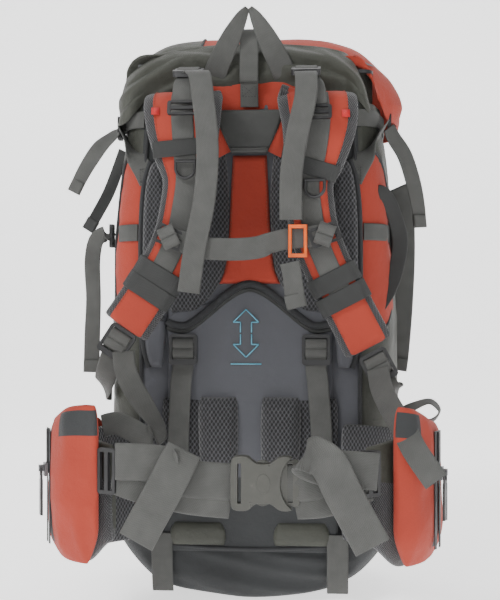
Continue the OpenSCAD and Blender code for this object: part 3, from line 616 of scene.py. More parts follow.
def waist(x, y):
    """Draws the sides in towards the back, where the frame holds the bag narrower."""
    return x * (1 - 0.105 * (1 - ease(y, -20, 95)) * ease(abs(x), 70, 160))


def leaf_border(y, z):
    """Draws points near the edge of a side panel onto it, so that the border between the cloths is clean."""
    for reach in LEAF_REACH.values():
        rise = abs(z - LEAF_Z) / LEAF_RISE
        deep = (y - LEAF_Y) / reach
        if 0 <= rise < 0.85 and abs(y - LEAF_Y - reach * math.sqrt(1 - rise ** 2)) < 2.6:
            y = LEAF_Y + reach * math.sqrt(1 - rise ** 2)
        elif 0 <= deep < 0.8 and abs(abs(z - LEAF_Z) - LEAF_RISE * math.sqrt(1 - deep ** 2)) < 3.7:
            z = LEAF_Z + math.copysign(LEAF_RISE * math.sqrt(1 - deep ** 2), z - LEAF_Z)
    return y, z


def bag_point(x, y, z, out):
    """Fills the flat CAD form out: full sides and front, soft folds, and a back that stays flat."""
    if abs(x) > 120:
        y, z = leaf_border(y, z)
    away = ease(y, 4, 40)
    rise = math.sin(math.pi * clamp(z / MOUTH_Z)) ** 0.8
    full = 6.0 * away * rise
    tucks = (3.0 * ripple(x, y, z, 58, 3) + 2.4 * crease(x * 0.5, y, z * 1.6, 46, 8) * ease(z, 40, 110)
        + 0.9 * ripple(x, y, z, 17, 5))
    push = full + away * tucks * (0.45 + 0.55 * rise)
    slack = (1 - ease(z, 40, 96)) * ease(140 - abs(x), 0, 30)
    push += slack * (5.5 * crease(x * 0.35 + z * 0.9, 0, z * 0.5, 30, 19) - 2.5)
    held = cinch(x, y, z)
    push = push * (1 - held) - 0.8 * held
    sag = 3.0 * away * math.exp(-((z - 150) / 70) ** 2)
    bowl = 30 * (x / 150) ** 2 * (1 - ease(z, 0, 120))
    return at(waist(x, y) + out[0] * (push + sag), y + out[1] * (push + sag * 0.7), z + bowl)


def bag_rows():
    rows = []
    floor_steps = 7
    for i in range(floor_steps):
        share = 0.04 + 0.96 * (i / floor_steps) ** 0.8
        ring = plan_ring(bag_half(0) * share, mix(BAG_DEPTH / 2, 26, share),
            mix(BAG_DEPTH / 2, BAG_DEPTH - 34, share), REAR_R * share, FRONT_R * share * 0.8)
        rows.append([at(x, y, 2.4 + 1.2 * ripple(x, y, 0, 40, 4) + 30 * (x / 150) ** 2)
            for x, y, out in ring])
    z = 0.0
    while z <= MOUTH_Z + 0.1:
        tuck = clamp(1 - z / BASE_R)
        inset = 26 * (1 - math.sqrt(max(0.0, 1 - tuck ** 2)))
        ring = plan_ring(bag_half(z), inset * 0.9, BAG_DEPTH - inset * 1.25, REAR_R, FRONT_R)
        rows.append([bag_point(x, y, max(z, 1.5), out) for x, y, out in ring])
        z += 4 if z < BASE_R else 7.415
    return rows


def bag_slot(rows):
    """Which cloth covers each place on the bag."""
    def choose(r, c):
        x, y, z = face_centre(rows, r, c)
        side = abs(x)
        if z < 76:
            return 1
        if y < 3.5 and side < 128:
            return 2 if 150 < z < 348 else 1
        middle = abs(z - LEAF_Z) / LEAF_RISE
        reach = LEAF_REACH[-1 if x < 0 else 1]
        if side > 112 and middle < 1 and y < LEAF_Y + reach * math.sqrt(1 - middle ** 2):
            return 0
        if y > 190 and side < 96 and 120 < z < 560:
            return 4 if z > 430 else 3
        return 3
    return choose


bag = bag_rows()
bag_shell = surface("bag_shell", bag, [RUST, CHARCOAL, SLATE, OLIVE, CHARCOAL], closed=True,
    slot=bag_slot(bag))
smooth(bag_shell)
thicken(bag_shell, 1.6)
place(bag_shell, "pack", "shell_olive", "side_panels", "front_panel", "base_panel", "back_panel")


def seam(name, route, body, material=BINDING, radius=2.0, slot="cord_black", closed=False, steps=4):
    return place(tube(name, route, radius, material, closed=closed, steps=steps), body, slot)


def leaf(side, out):
    """The curved seam round a side panel of rust cloth."""
    route = []
    for i in range(25):
        angle = math.pi * i / 24
        z = LEAF_Z - LEAF_RISE * math.cos(angle)
        y = LEAF_Y + LEAF_REACH[side] * math.sin(angle)
        half = bag_half(z)
        push = 5 * ease(y, 4, 40) * math.sin(math.pi * clamp(z / MOUTH_Z)) ** 0.8
        if y < REAR_R:
            corner = math.acos(clamp(1 - y / REAR_R, -1, 1))
            x = half - REAR_R + REAR_R * math.sin(corner)
        else:
            x = half
        route.append((side * (waist(x, y) + push + out), y, z))
    return route


for side, word in HANDS:
    seam(f"side_seam_{word}", leaf(side, 1.2), "pack", BINDING, 2.2)
    edge = [(side * (waist(bag_half(z) - 30, 0) + 1), -1.2, z) for z in range(90, 590, 20)]
    seam(f"back_seam_{word}", edge, "pack", BINDING, 2.6)
    edge = [(side * (bag_half(z) - 24 + 5), BAG_DEPTH - 22 + 5 * math.sin(math.pi * z / MOUTH_Z), z)
        for z in range(80, 590, 20)]
    seam(f"front_seam_{word}", edge, "pack", BINDING, 1.8)


def collar_rows(inset, z0, z1, steps, gather):
    rows = []
    for i in range(steps + 1):
        z = mix(z0, z1, i / steps)
        ring = plan_ring(MOUTH_HALF - inset, inset + 2, BAG_DEPTH - inset, REAR_R + 24, FRONT_R - 10, dense=2)
        row = []
        for k, (x, y, out) in enumerate(ring):
            pleat = gather * (i / steps) * math.sin(k * 0.9 + 1.5 * math.sin(k * 0.13))
            row.append(at(x + out[0] * (pleat - gather * i / steps), y + out[1] * (pleat
                - gather * i / steps), z))
        rows.append(row)
    return rows


collar = surface("collar_cloth", collar_rows(10.5, 585, 634, 8, 1.4), [OLIVE], closed=True)
thicken(collar, 1.2)
place(collar, "pack", "shell_olive", "collar")

# ---------------------------------------------------------------- the lid
SEAM_Z = 684
SEAM_Y = 8
LID_HALF = 163
LID_FRONT = 262
SKIRT_Z = 576


DOME = 2.45
DOME_Z = 600


def dome_z(x, half=160, rise=62):
    """Height of the arch over the top of the bag."""
    return DOME_Z + rise * max(0.0, 1 - min(1.0, abs(x) / half) ** DOME) ** (1 / DOME)


def lid_low(x, y):
    return mix(SEAM_Z - 34, SKIRT_Z, ease(y, SEAM_Y - 8 * (x > 0), SEAM_Y + (50 if x > 0 else 95)))


def lid_rows():
    """Rings up the walls of the lid, then in over its crown."""
    rows = []
    middle = (SEAM_Y + LID_FRONT) / 2
    for i in range(7):
        z = mix(SKIRT_Z, DOME_Z, i / 7)
        rows.append([lid_point(x, y, z, out, 1.0) for x, y, out in plan_ring(LID_HALF, SEAM_Y, LID_FRONT, 34,
            52)])
    steps = 24
    for i in range(steps):
        angle = math.pi / 2 * i / steps
        across = math.cos(angle) ** (2 / DOME)
        along = math.cos(angle) ** 0.36
        behind = math.cos(angle) ** 0.95
        z = DOME_Z + 90 * math.sin(angle) ** (2 / DOME)
        ring = plan_ring(LID_HALF * across, middle - (middle - SEAM_Y) * behind,
            middle + (LID_FRONT - middle) * along, 34 * across, 52 * across)
        rows.append([lid_point(x, y, z, out, across) for x, y, out in ring])
    centre = sum(rows[-1], Vector()) / len(rows[-1])
    for share in (0.6, 0.25, 0.02):
        rows.append([centre + (p - centre) * share for p in rows[-1]])
    return rows


def lid_point(x, y, z, out, across):
    """One point of the lid, with its folds. The zip across the front lies flat."""
    flat = ease(y, LID_FRONT - 26, LID_FRONT - 8) * (1 - ease(z, 668, 684))
    belly = 21 * ease(x, 90, 165) * ease(y, 24, 84) * math.exp(-((z - 598) / 50) ** 2)
    folds = 3.4 * ripple(x, y, z, 50, 11) + 3.2 * crease(x, y * 0.8, z, 62, 2) - 1.6 + 1.1 * ripple(x, y, z,
        19, 4)
    folds *= ease(y, SEAM_Y - 6, SEAM_Y + 40) * (1 - flat)
    push = (belly + folds) * across - 0.8 * flat
    dent = 0.7 * folds * (1 - across)
    return at(waist(x, y - 15) + out[0] * push, y + out[1] * push, min(698, max(z, lid_low(x, y)) + dent))


def lid_slot(rows):
    def choose(r, c):
        x, y, z = face_centre(rows, r, c)
        edge = SEAM_Y + 20 - 26 * ease(x, 96, 120)
        return 1 if y < edge or (x < YOKE_X and y < YOKE_Y) else 0
    return choose


YOKE_X = -62
YOKE_Y = 172
lid = lid_rows()


def lid_border(x, y):
    """Draws the lid's points onto the seam between its two cloths, so that the border is clean."""
    if x < YOKE_X + 4 and abs(y - YOKE_Y) < 4.5:
        y = YOKE_Y
    if y < YOKE_Y + 1 and abs(x - YOKE_X) < 4.5:
        x = YOKE_X
    return x, y


for row in lid:
    for p in row:
        x, y = lid_border(*measured(p)[:2])
        p.x = x * MM
        p.y = BACK_Y + y * MM
lid_cloth = surface("lid_cloth", lid, [RUST, OLIVE], closed=True, slot=lid_slot(lid))
smooth(lid_cloth)
thicken(lid_cloth, 1.6)


def fold(obj, slot, *nodes):
    """A lid piece left free of any body: its CAD nodes are hidden and its placement is baked into its mesh.
    """
    if nodes:
        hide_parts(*nodes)
    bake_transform(obj)


fold(lid_cloth, "shell_rust", "lid_top")


def on_cloth(obj, start, towards, lift):
    """The place on a piece that a straight look from a point in millimetres meets, a little lifted."""
    origin = at(*start)
    found, where, normal, face = obj.ray_cast(origin, (at(*towards) - origin).normalized())
    if not found:
        return None
    where = where + normal * (lift * MM)
    return measured(where)


hits = [on_cloth(lid_cloth, (-240, YOKE_Y, z), (0, YOKE_Y, z), 0.6) for z in range(590, 640, 10)]
hits += [on_cloth(lid_cloth, (x, YOKE_Y, 760), (x, YOKE_Y, 600), 0.6) for x in range(-146, int(YOKE_X), 12)]
hits += [on_cloth(lid_cloth, (YOKE_X, y, 760), (YOKE_X, y, 600), 0.6) for y in range(YOKE_Y, 30, -12)]
fold(tube("lid_seam", [p for p in hits if p], 1.6, BINDING, steps=3), "cord_black")

# Folds of the cloth behind the lid: the two ends of each, its width and its height
REAR_FOLDS = [((-158, 596), (-70, 648), 9, 7.0), ((-150, 622), (-96, 650), 7, 5.0),
    ((-132, 590), (-58, 622), 8, 6.0), ((-96, 652), (-26, 640), 8, 5.5), ((-84, 628), (-24, 612), 7, 4.5),
    ((-60, 655), (-12, 662), 5, 3.5), ((-40, 604), (-8, 640), 6, 4.0), ((22, 656), (96, 640), 8, 6.5),
    ((30, 634), (120, 612), 9, 7.0), ((52, 612), (100, 600), 7, 5.0), ((84, 652), (150, 596), 8, 7.0),
    ((104, 634), (136, 584), 7, 5.0), ((14, 622), (60, 650), 6, 4.0), ((132, 600), (150, 570), 6, 4.0),
    ((-156, 575), (-120, 606), 7, 5.0)]


def fold_height(x, z, folds):
    """The height of the highest fold at a place: steep on its upper side and soft below."""
    best = 0.0
    for (xa, za), (xb, zb), width, height in folds:
        dx, dz = xb - xa, zb - za
        length = math.hypot(dx, dz)
        t = clamp(((x - xa) * dx + (z - za) * dz) / length ** 2)
        away = ((z - za) * dx - (x - xa) * dz) / length
        past = math.hypot(x - xa - t * dx, z - za - t * dz)
        reach = width * (0.6 if away > 0 else 1.5)
        fade = math.sin(math.pi * (0.12 + 0.76 * t)) ** 0.7
        best = max(best, height * fade * math.exp(-(past / reach) ** 2))
    return best


def wrapped(u, lean):
    """A place along the cloth that wraps round a rear corner: how far out, and how far forward."""
    if u < 0:
        path = [(0, 0), (70, 0), (128, 0), (148, 5), (159, 18), (163, 44), (164, 84)]
    else:
        path = [(0, 0), (70, 0), (118 - lean, 0), (133 - lean, 2), (140 - lean, 8), (143 - lean, 18),
            (144 - lean, 32)]
    place_at = abs(u) * (len(path) - 1)
    k = min(int(place_at), len(path) - 2)
    a, b, c, d = (path[clamp(k + n, 0, len(path) - 1)] for n in (-1, 0, 1, 2))
    t = place_at - k
    return between(a, b, c, d, t)


rear = []
for i in range(41):
    t = i / 40
    row = []
    for k in range(141):
        u = mix(-1, 1, k / 140)
        out, wrap = wrapped(u, 22 * t ** 1.5)
        x = math.copysign(out, u) * (1 - 0.04 * t)
        low = 607 - 5 * clamp(abs(x) / 100) ** 2 - 34 * ease(abs(x), 112, 154)
        top = dome_z(x, 168) - 9 * ease(-x, 96, 150)
        z = mix(low, top, t)
        wrap += 9 * ease(t, 0.7, 1.0)
        puff = 9.0 * math.sin(math.pi * clamp(0.1 + 0.86 * t)) ** 0.7 * (1 - 0.4 * abs(u))
        folds = 1.5 * fold_height(x, z, REAR_FOLDS) + 2.6 * ripple(x, 0, z, 22, 17)
        fade = math.sin(math.pi * (0.1 + 0.84 * t)) ** 0.6
        outer = ease(abs(x), 140, 162)
        row.append(at(x + 0.7 * folds * fade * math.copysign(outer, u),
            4 + wrap - (puff + folds * fade) * (1 - 0.7 * outer), z))
    rear.append(row)
rear_cloth = surface("rear_cloth", rear, [OLIVE], flip=True)
thicken(rear_cloth, 1.4, offset=0)
place(rear_cloth, "pack", "shell_olive", "lid_rear_panel")

floor_rows = []
for i in range(25):
    y = mix(SEAM_Y + 12, LID_FRONT - 8, i / 24)
    row = []
    for k in range(33):
        u = mix(-1, 1, k / 32)
        corner = 12 * ease(abs(mix(-1, 1, i / 24)), 0.75, 1.0) * ease(abs(u), 0.75, 1.0)
        sag = 5 * (1 - u * u) * math.sin(math.pi * i / 24)
        row.append(at(u * (148 - corner), y, 641 - sag + 1.3 * ripple(u * 160, y, 0, 40, 31)))
    floor_rows.append(row)
lid_floor = surface("lid_lining", floor_rows, [LINING])
thicken(lid_floor, 1.2, offset=0)
fold(lid_floor, "shell_olive", "lid_floor")


# ---------------------------------------------------------------- pads
def pad(name, outline, base, thick, materials, columns=28, steps=6, edge=7.0, crown=2.0, wander=0.4,
        slot=None, wrinkle=30):
    """A foam piece on the back. outline holds rows of height, left edge and right edge."""
    line = spline(outline, steps)
    total = abs(line[-1][0] - line[0][0])
    rows = []
    uvs = []
    for z, x0, x1 in line:
        ends = clamp(min(abs(z - line[0][0]), abs(line[-1][0] - z)) / edge)
        row = []
        uv = []
        for k in range(columns + 1):
            u = 0.5 - 0.5 * math.cos(math.pi * k / columns)
            x = mix(x0, x1, u)
            sides = clamp(min(x - x0, x1 - x) / edge)
            body = math.sqrt(max(0.0, 1 - (1 - sides) ** 2)) * math.sqrt(max(0.0, 1 - (1 - ends) ** 2))
            swell = crown * (1 - (2 * u - 1) ** 2) * math.sin(math.pi * clamp(abs(z - line[0][0]) / total))
            y = base - body * (thick + swell + wander * ripple(x, 0, z, wrinkle, 3 + thick))
            row.append(at(x, y, z))
            uv.append((x * MM, z * MM))
        rows.append(row)
        uvs.append(uv)
    flip = line[-1][0] < line[0][0]
    return surface(name, rows, materials, uvs=uvs, flip=not flip, slot=slot)


def outline_of(rows, side=1):
    """Mirrors rows of height, inner edge and outer edge to one side."""
    return [(z, a, b) if side > 0 else (z, -b, -a) for z, a, b in rows]


PLATE_Y = -3.8

plate = pad("back_plate", [(224, -92, 92), (240, -97, 97), (560, -97, 97), (574, -90, 90)], -0.9, 2.8,
    [SLATE], crown=0, wander=0.2, edge=3)
thicken(plate, 0.8, offset=1)
place(plate, "harness", "fabric_grey", "harness_plate")

slate = pad("slate_panel", [(224, -70, 70), (236, -84, 84), (300, -95, 95), (330, -97, 97), (345, -86, 86),
    (356, -44, 44), (368, -22, 22), (374, -4, 4)], PLATE_Y + 0.3, 3.2, [SLATE], crown=2.4, wander=0.5, edge=9)
place(slate, "harness", "fabric_grey")

for side, word in HANDS:
    rows = [(344, 66, 92), (352, 56, 95), (368, 42, 95), (390, 31, 95), (420, 27, 95), (470, 24, 95),
        (526, 28, 95), (545, 34, 94), (558, 37, 92), (570, 43, 86)]
    foam = pad(f"mesh_foam_{word}", outline_of(rows, side), PLATE_Y, 7.6, [MESH], crown=1.5, wander=0.8,
        edge=8)
    place(foam, "harness", "mesh_black", "mesh_panels")
    rows = [(278, 104, 118), (300, 101, 124), (340, 99, 127), (400, 99, 128), (460, 99, 127), (500, 100, 123),
        (522, 104, 116)]
    foam = pad(f"back_pad_{word}", outline_of(rows, side), -0.2, 11.0, [MESH, SLATE], crown=1.0, wander=0.8,
        edge=7, slot=lambda r, c: 1 if r < 14 else 0)
    place(foam, "pack", "mesh_black", "back_pads")
    rim = [(side * (x + 1.5), -4, z) for z, _, x in rows]
    seam(f"pad_piping_{word}", rim, "pack", BINDING, 3.2, steps=6)
    sweep = [(side * 101, -12, 336), (side * 108, -12.6, 340), (side * 116, -12.2, 348),
        (side * 123, -10, 360)]
    seam(f"pad_arch_{word}", sweep, "pack", BINDING, 3.6)

spine = pad("spine_cloth", [(377, -36, 36), (384, -33, 33), (400, -28, 28), (440, -24.5, 24.5),
    (490, -22, 22), (528, -20, 20)], PLATE_Y + 0.1, 6.6, [RUST], crown=2.0, edge=5, wander=0.5)
place(spine, "harness", "shell_rust", "spine_panel")

arch = [(-97, -8.5, 333), (-92, -9, 330), (-76, -9.5, 328), (-62, -9.5, 336), (-46, -9.5, 349),
    (-28, -9.5, 364), (-12, -9.5, 374), (0, -9.5, 377), (12, -9.5, 374), (28, -9.5, 364), (46, -9.5, 349),
    (62, -9.5, 336), (76, -9.5, 328), (92, -9, 330), (97, -8.5, 333)]
place(tube("arch_piping", arch, 4.3, BINDING, sides=12), "harness", "cord_black", "piping_arch")
lower = [(x, y + 3, z - 6.5) for x, y, z in arch]
place(tube("arch_tape", lower, 3.4, DARK_WEB, sides=10), "harness", "cord_black")

yoke = pad("yoke_cloth", [(560, -88, 88), (578, -92, 92), (600, -84, 84), (612, -60, 60), (616, -52, 52)],
    PLATE_Y + 2.9, 2.9, [RUST], crown=1.2, edge=4, wander=1.0, wrinkle=22)
place(yoke, "harness", "shell_rust", "yoke")
for side, word in HANDS:
    path = [at(side * x, -11.9, z) for x, z in ((29, 392), (24.5, 410), (21.5, 440), (19.5, 490), (18, 524))]
    place(stitches(f"spine_stitch_{word}", path, RUST_THREAD), "harness", "shell_rust")
flap = pad("flap_cloth", [(529.5, -21, 21), (532, -22, 22), (556, -33, 33), (577, -41, 41),
    (580, -41.5, 41.5)], -13.6, 2.9, [RUBBER], crown=0.6, edge=2.5, wander=0.3)
thicken(flap, 0.8, offset=1)
place(flap, "harness", "rubber_dark", "back_flap")
hem = [(-22, -16.4, 535.5), (-10, -17, 534.6), (0, -17.2, 534.4), (10, -17, 534.6), (22, -16.4, 535.5)]
place(tube("flap_piping", hem, 1.7, RUBBER), "harness", "rubber_dark")
for side, word in HANDS:
    gusset = make(f"flap_gusset_{word}", [at(side * 21, -12.6, 532), at(side * 37, -12.9, 524),
        at(side * 45, -13.4, 566), at(side * 38, -13.4, 577)], [(0, 1, 2, 3)], [RUST],
        [(0, 0), (0.02, 0), (0.02, 0.05), (0, 0.05)])
    thicken(gusset, 1.5, offset=0)
    place(gusset, "harness", "shell_rust")

# ---------------------------------------------------------------- shoulder straps
LEFT_STRAP = [[-66, -21, 548, 42, 0], [-66, -25, 572, 60, 0], [-71, -33, 589, 86, 0], [-73, -49, 584, 90, 0],
    [-72, -57, 560, 86, 0], [-69, -61, 524, 72, 0], [-66, -62, 494, 58, 0], [-70, -63, 462, 55, 0],
    [-77, -63, 430, 55, 0], [-91, -63, 398, 55, 0], [-112, -62, 364, 56, 0], [-138, -61, 326, 57, 0]]
RIGHT_STRAP = [[66, -21, 548, 42, 0], [67, -25, 572, 60, 0], [76, -33, 588, 86, 0], [80, -49, 582, 90, 0],
    [82, -57, 556, 85, 0], [77, -61, 520, 71, 0], [70, -62, 492, 58, 0], [72, -63, 462, 55, 0],
    [78, -63, 430, 55, 0], [90, -63, 398, 55, 0], [109, -62, 360, 56, 0], [138, -61, 304, 57, 0]]
STRAP_THICK = 14
STRAPS = ((-1, "left", LEFT_STRAP), (1, "right", RIGHT_STRAP))


def strap_ring(count):
    """A rounded cushion section: across from -1 to 1, and through from -1 at the back to 1 at the face."""
    ring = []
    for k in range(count):
        angle = 2 * math.pi * k / count
        u = math.copysign(abs(math.cos(angle)) ** 0.55, math.cos(angle))
        v = math.copysign(abs(math.sin(angle)) ** 0.62, math.sin(angle))
        ring.append((u, v))
    return ring


def ring_middle(ring, c):
    """The middle of one side of a section."""
    after = ring[(c + 1) % len(ring)]
    return (ring[c][0] + after[0]) / 2, (ring[c][1] + after[1]) / 2


def cushion(name, route, thick, steps=8):
    line = spline(route, steps)
    ring = strap_ring(40)
    rows = []
    uvs = []
    for i, (here, side, face, far) in enumerate(frames(line, Vector((1, 0, 0)))):
        half = line[i][3] / 2 * MM
        end = clamp(min(i, len(line) - 1 - i) / 3)
        swell = math.sqrt(1 - (1 - end) ** 2) * 0.72 + 0.28
        row = []
        uv = []
        for u, v in ring:
            groove = 0.55 if 0.68 < abs(u) < 0.8 and v > 0 else 0
            bow = 1.4 * (1 - u * u) * (1 if v > 0 else -0.6)
            puff = v * thick / 2 - groove + (bow if v > 0 else -0.4 * bow) * 0.5
            crumple = 0.7 * noise.noise(Vector((far * 30, u * 1.3, v + route[0][0])))
            row.append(here + side * (u * half) + face * ((puff * swell + crumple) * MM))
            uv.append((u * half + (0.2 if v < 0 else 0), far))
        rows.append(row)
        uvs.append(uv)
    around = []
    for j in range(len(ring)):
        u, v = ring_middle(ring, j)
        around.append(0 if v > 0.5 and abs(u) < 0.76 else 1)
    return make(name, [p for row in rows for p in row], hose_faces(len(rows), len(ring)),
        [RUST_STRAP, FINE_MESH], [uv for row in uvs for uv in row], around * (len(rows) - 1) + [1, 1])


for side, word, route in STRAPS:
    cushion_obj = cushion(f"strap_cushion_{word}", route, STRAP_THICK)
    smooth(cushion_obj)
    place(cushion_obj, "harness", "shell_rust", f"shoulder_strap_{word}")


def web_piece(name, route, body, node=None, material=WEB, thick=2, hint=(1, 0, 0), lift=0.0, steps=8,
        wander=0.4, slot="webbing_grey"):
    obj = strip(name, route, thick, material, Vector(hint), lift, steps, wander)
    if node:
        return place(obj, body, slot, node)
    return place(obj, body, slot)


def web(x, y, z, turn=0, width=25):
    return [x, y, z, width, turn]


def on_strap(route, lift, width=25):
    """A line over the face of a strap, lifted by some millimetres."""
    line = spline(route, 4)[11:]
    rows = []
    for row, (here, side, face, far) in zip(line, frames(line, Vector((1, 0, 0)))):
        p = here + face * (lift * MM)
        rows.append([*measured(p), width, 0])
    return rows


for hand, word, route in STRAPS:
    line = on_strap(route, 8.6)
    line = [row for i, row in enumerate(line) if i < 8 or row[2] > 358]
    web_piece(f"strap_web_{word}", line, "harness", "strap_webbing", steps=2, thick=1.8)
    for edge in SIDES:
        path = []
        line = spline(route, 8)
        for i, (row, (here, side, face, far)) in enumerate(zip(line, frames(line, Vector((1, 0, 0))))):
            if 18 < i < 8 * (len(route) - 1) - 2:
                path.append(here + side * (edge * row[3] * 0.355 * MM) + face * (7.25 * MM))
        place(stitches(f"strap_stitch_{word}_{'in' if edge * hand < 0 else 'out'}", path, RUST_THREAD),
            "harness", "shell_rust")


# ---------------------------------------------------------------- webbing and bands
def ribbon(name, route, thick, material, steps=8, section=WEB_SECTION):
    """Webbing whose flat direction changes: rows hold a point, a width and the direction across."""
    line = spline(route, steps)
    points = []
    uvs = []
    far = 0.0
    centres = [at(*row[:3]) for row in line]
    for i, here in enumerate(centres):
        heading = (centres[min(len(centres) - 1, i + 1)] - centres[max(0, i - 1)]).normalized()
        flat = Vector(line[i][4:7])
        flat = (flat - flat.dot(heading) * heading).normalized()
        face = heading.cross(flat)
        if i:
            far += (here - centres[i - 1]).length
        half = line[i][3] / 2 * MM
        for u, v in section:
            points.append(here + flat * (u * half) + face * (v * thick / 2 * MM))
            uvs.append((u * half, far))
    return make(name, points, hose_faces(len(line), len(section)), [material], uvs)


def laid(name, rows, body, *nodes, thick=1.8, material=WEB):
    """Webbing laid along given rows, riding on a body."""
    return place(ribbon(name, rows, thick, material), body, "webbing_grey", *nodes)


def strap_frame(route, height):
    """The place on a strap's falling run at some height: point, across, outwards and half width."""
    line = spline(route, 8)
    for i, (row, (here, side, face, far)) in enumerate(zip(line, frames(line, Vector((1, 0, 0))))):
        if i > 28 and row[2] <= height:
            return here, side, face, row[3] / 2
    raise ValueError("no such height on the strap")


def band_across(name, route, height, length, u0, u1, lift, material=DARK_WEB, thick=1.4):
    """An elastic band across a strap, tucked over its edges."""
    here, side, face, half = strap_frame(route, height)
    down = side.cross(face)
    rows = []
    for i in range(9):
        u = mix(u0, u1, i / 8)
        drop = 6.5 * max(0.0, (abs(u) - 0.8) / 0.24) ** 2 if abs(u) > 0.8 else 0
        p = here + side * (u * half * MM) + face * ((lift - drop) * MM)
        rows.append([*measured(p), length, *down])
    obj = ribbon(name, rows, thick, material, steps=3)
    return place(obj, "harness", "fabric_charcoal", "strap_bands")


RING_BAND_Z = {-1: 530, 1: 509}
for sign, word, route in STRAPS:
    band_across(f"ring_band_{word}", route, RING_BAND_Z[sign], 19, -0.96 if sign < 0 else -0.5,
        0.5 if sign < 0 else 0.96, 10.6)
    for k, height in enumerate((388, 371)):
        band_across(f"keeper_{word}_{k}", route, height - (6 if sign > 0 else 0), 21, -1.06, 1.06,
            10.4 + 0.4 * k)
    here, side, face, half = strap_frame(route, 579 if sign < 0 else 566)
    corner = here + side * (sign * half * 0.68 * MM) + face * (7.6 * MM)
    tab = make(f"tab_{word}", [corner + side * (a * MM) + side.cross(face) * (b * MM) + face * (c * MM)
        for a, b, c in ((-4.5, -4.5, 0.6), (4.5, -4.5, 0.2), (4.5, 4.5, 0.6), (-4.5, 4.5, 2.6))],
        [(0, 1, 2, 3)], [RED_THREAD])
    thicken(tab, 0.7, offset=0)
    place(tab, "harness", "shell_rust")

FRONT_Y = -72.4


def box_tack(name, centre, across, along, body, slot="webbing_grey", material=DARK_THREAD):
    """A sewn box with a cross in it. across and along are the box's half sides, as vectors in millimetres."""
    corners = [at(*(Vector(centre) + across * a + along * b)) for a, b in ((-1, -1), (1, -1), (1, 1),
        (-1, 1))]
    path = [corners[k] for k in (0, 1, 2, 3, 0, 2, 1, 3)]
    return place(stitches(name, path, material, 2.2, 1.2, 0.35), body, slot)


for side, word in HANDS:
    box_tack(f"brace_tack_{word}", (side * 122, -4.9, 505), Vector((8, 0, 0)), Vector((0, 0, 8)), "pack")
    web_piece(f"lifter_root_{word}", [web(side * 67, -1, 622), web(side * 67, -14, 624.5),
        web(side * 67, -26, 623), web(side * 67, -36, 619)], "pack", "load_lifter_tails")
web_piece("lifter_tail_left", [web(-60, -60, 613), web(-56, -70, 614), web(-50, -80, 606), web(-46, -84, 580),
    web(-42, -86, 545), web(-41, -88, 508), web(-45, -88, 465), web(-55, -88, 415), web(-62, -87, 366)],
    "pack")
web_piece("lifter_tail_right", [web(66, -60, 612), web(67, -70, 612), web(68, -80, 603), web(67, -84, 580),
    web(59, -86, 545), web(53, -87.5, 510), web(51, -88, 485), web(51, -88, 446)], "pack")


def stretched(name, route, hint=(1, 0, 0), first=False):
    """Webbing between the bag and the sliding harness."""
    obj = strip(name, route, 2, WEB, Vector(hint), 0, 8, 0.4)
    if first:
        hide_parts("adjuster_webbing")
    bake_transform(obj)
    return obj


stretched("lifter_web_left", [web(-67, -50, 612), web(-68, -64, 605), web(-69, -72, 596),
    web(-70, FRONT_Y - 2.5, 578)], first=True)
stretched("lifter_web_right", [web(69, -50, 611), web(72, -64, 604), web(76, -72, 594),
    web(79, FRONT_Y - 2.5, 574)])
stretched("base_web_left", [web(-150, -60, 304), web(-155, -59, 290), web(-161, -52, 274, 10),
    web(-168, -34, 260, 40), web(-173, 0, 252, 78), web(-172.5, 36, 248, 90)])
stretched("base_web_right", [web(151, -60, 278), web(156, -59, 266), web(162, -52, 259, -10),
    web(168, -34, 254, -40), web(173, 0, 250, -78), web(172.5, 36, 247, -90)])
LOCK_Y = -9.8
stretched("size_web_left", [web(-78, LOCK_Y - 2, 300), web(-78, LOCK_Y - 2, 280), web(-80, LOCK_Y - 5, 262),
    web(-83, -12, 210), web(-84, -9.5, 178)])
stretched("size_web_right", [web(78, LOCK_Y - 2, 300), web(78, LOCK_Y - 2, 280), web(80, LOCK_Y - 5, 262),
    web(84, -12, 210), web(85, -9.5, 178)])

# Loose tails below the strap locks
tail = [[-139, -64, 300, 25, 0.8, 0, -0.5], [-136, -70, 282, 25, 0.9, 0, -0.3],
    [-128, -72, 262, 25, 0.9, 0.1, -0.4], [-112, -76, 238, 25, 0.8, 0.1, -0.5],
    [-99, -82, 220, 25, 0.8, 0.3, -0.5], [-97, -92, 211, 25, 0.75, 0.45, -0.4],
    [-108, -100, 208, 25, 0.3, 0.3, 0.9], [-124, -100, 216, 25, 0.1, 0.2, 0.97],
    [-142, -94, 222, 25, -0.1, 0.2, 0.97], [-158, -86, 218, 25, -0.3, 0.2, 0.9]]
laid("base_tail_left", tail, "harness")
tail = [[147, -66, 282, 25, 0.9, 0, 0.45], [150, -84, 262, 25, 0.9, 0, 0.45],
    [158, -122, 244, 25, 0.9, 0, 0.44], [168, -160, 228, 26, 0.9, 0.05, 0.44],
    [178, -179, 208, 26, 0.9, 0.05, 0.44], [190, -183, 190, 26, 0.9, 0.05, 0.44],
    [200, -183, 176, 26, 0.9, 0.05, 0.44]]
laid("base_tail_right", tail, "harness")

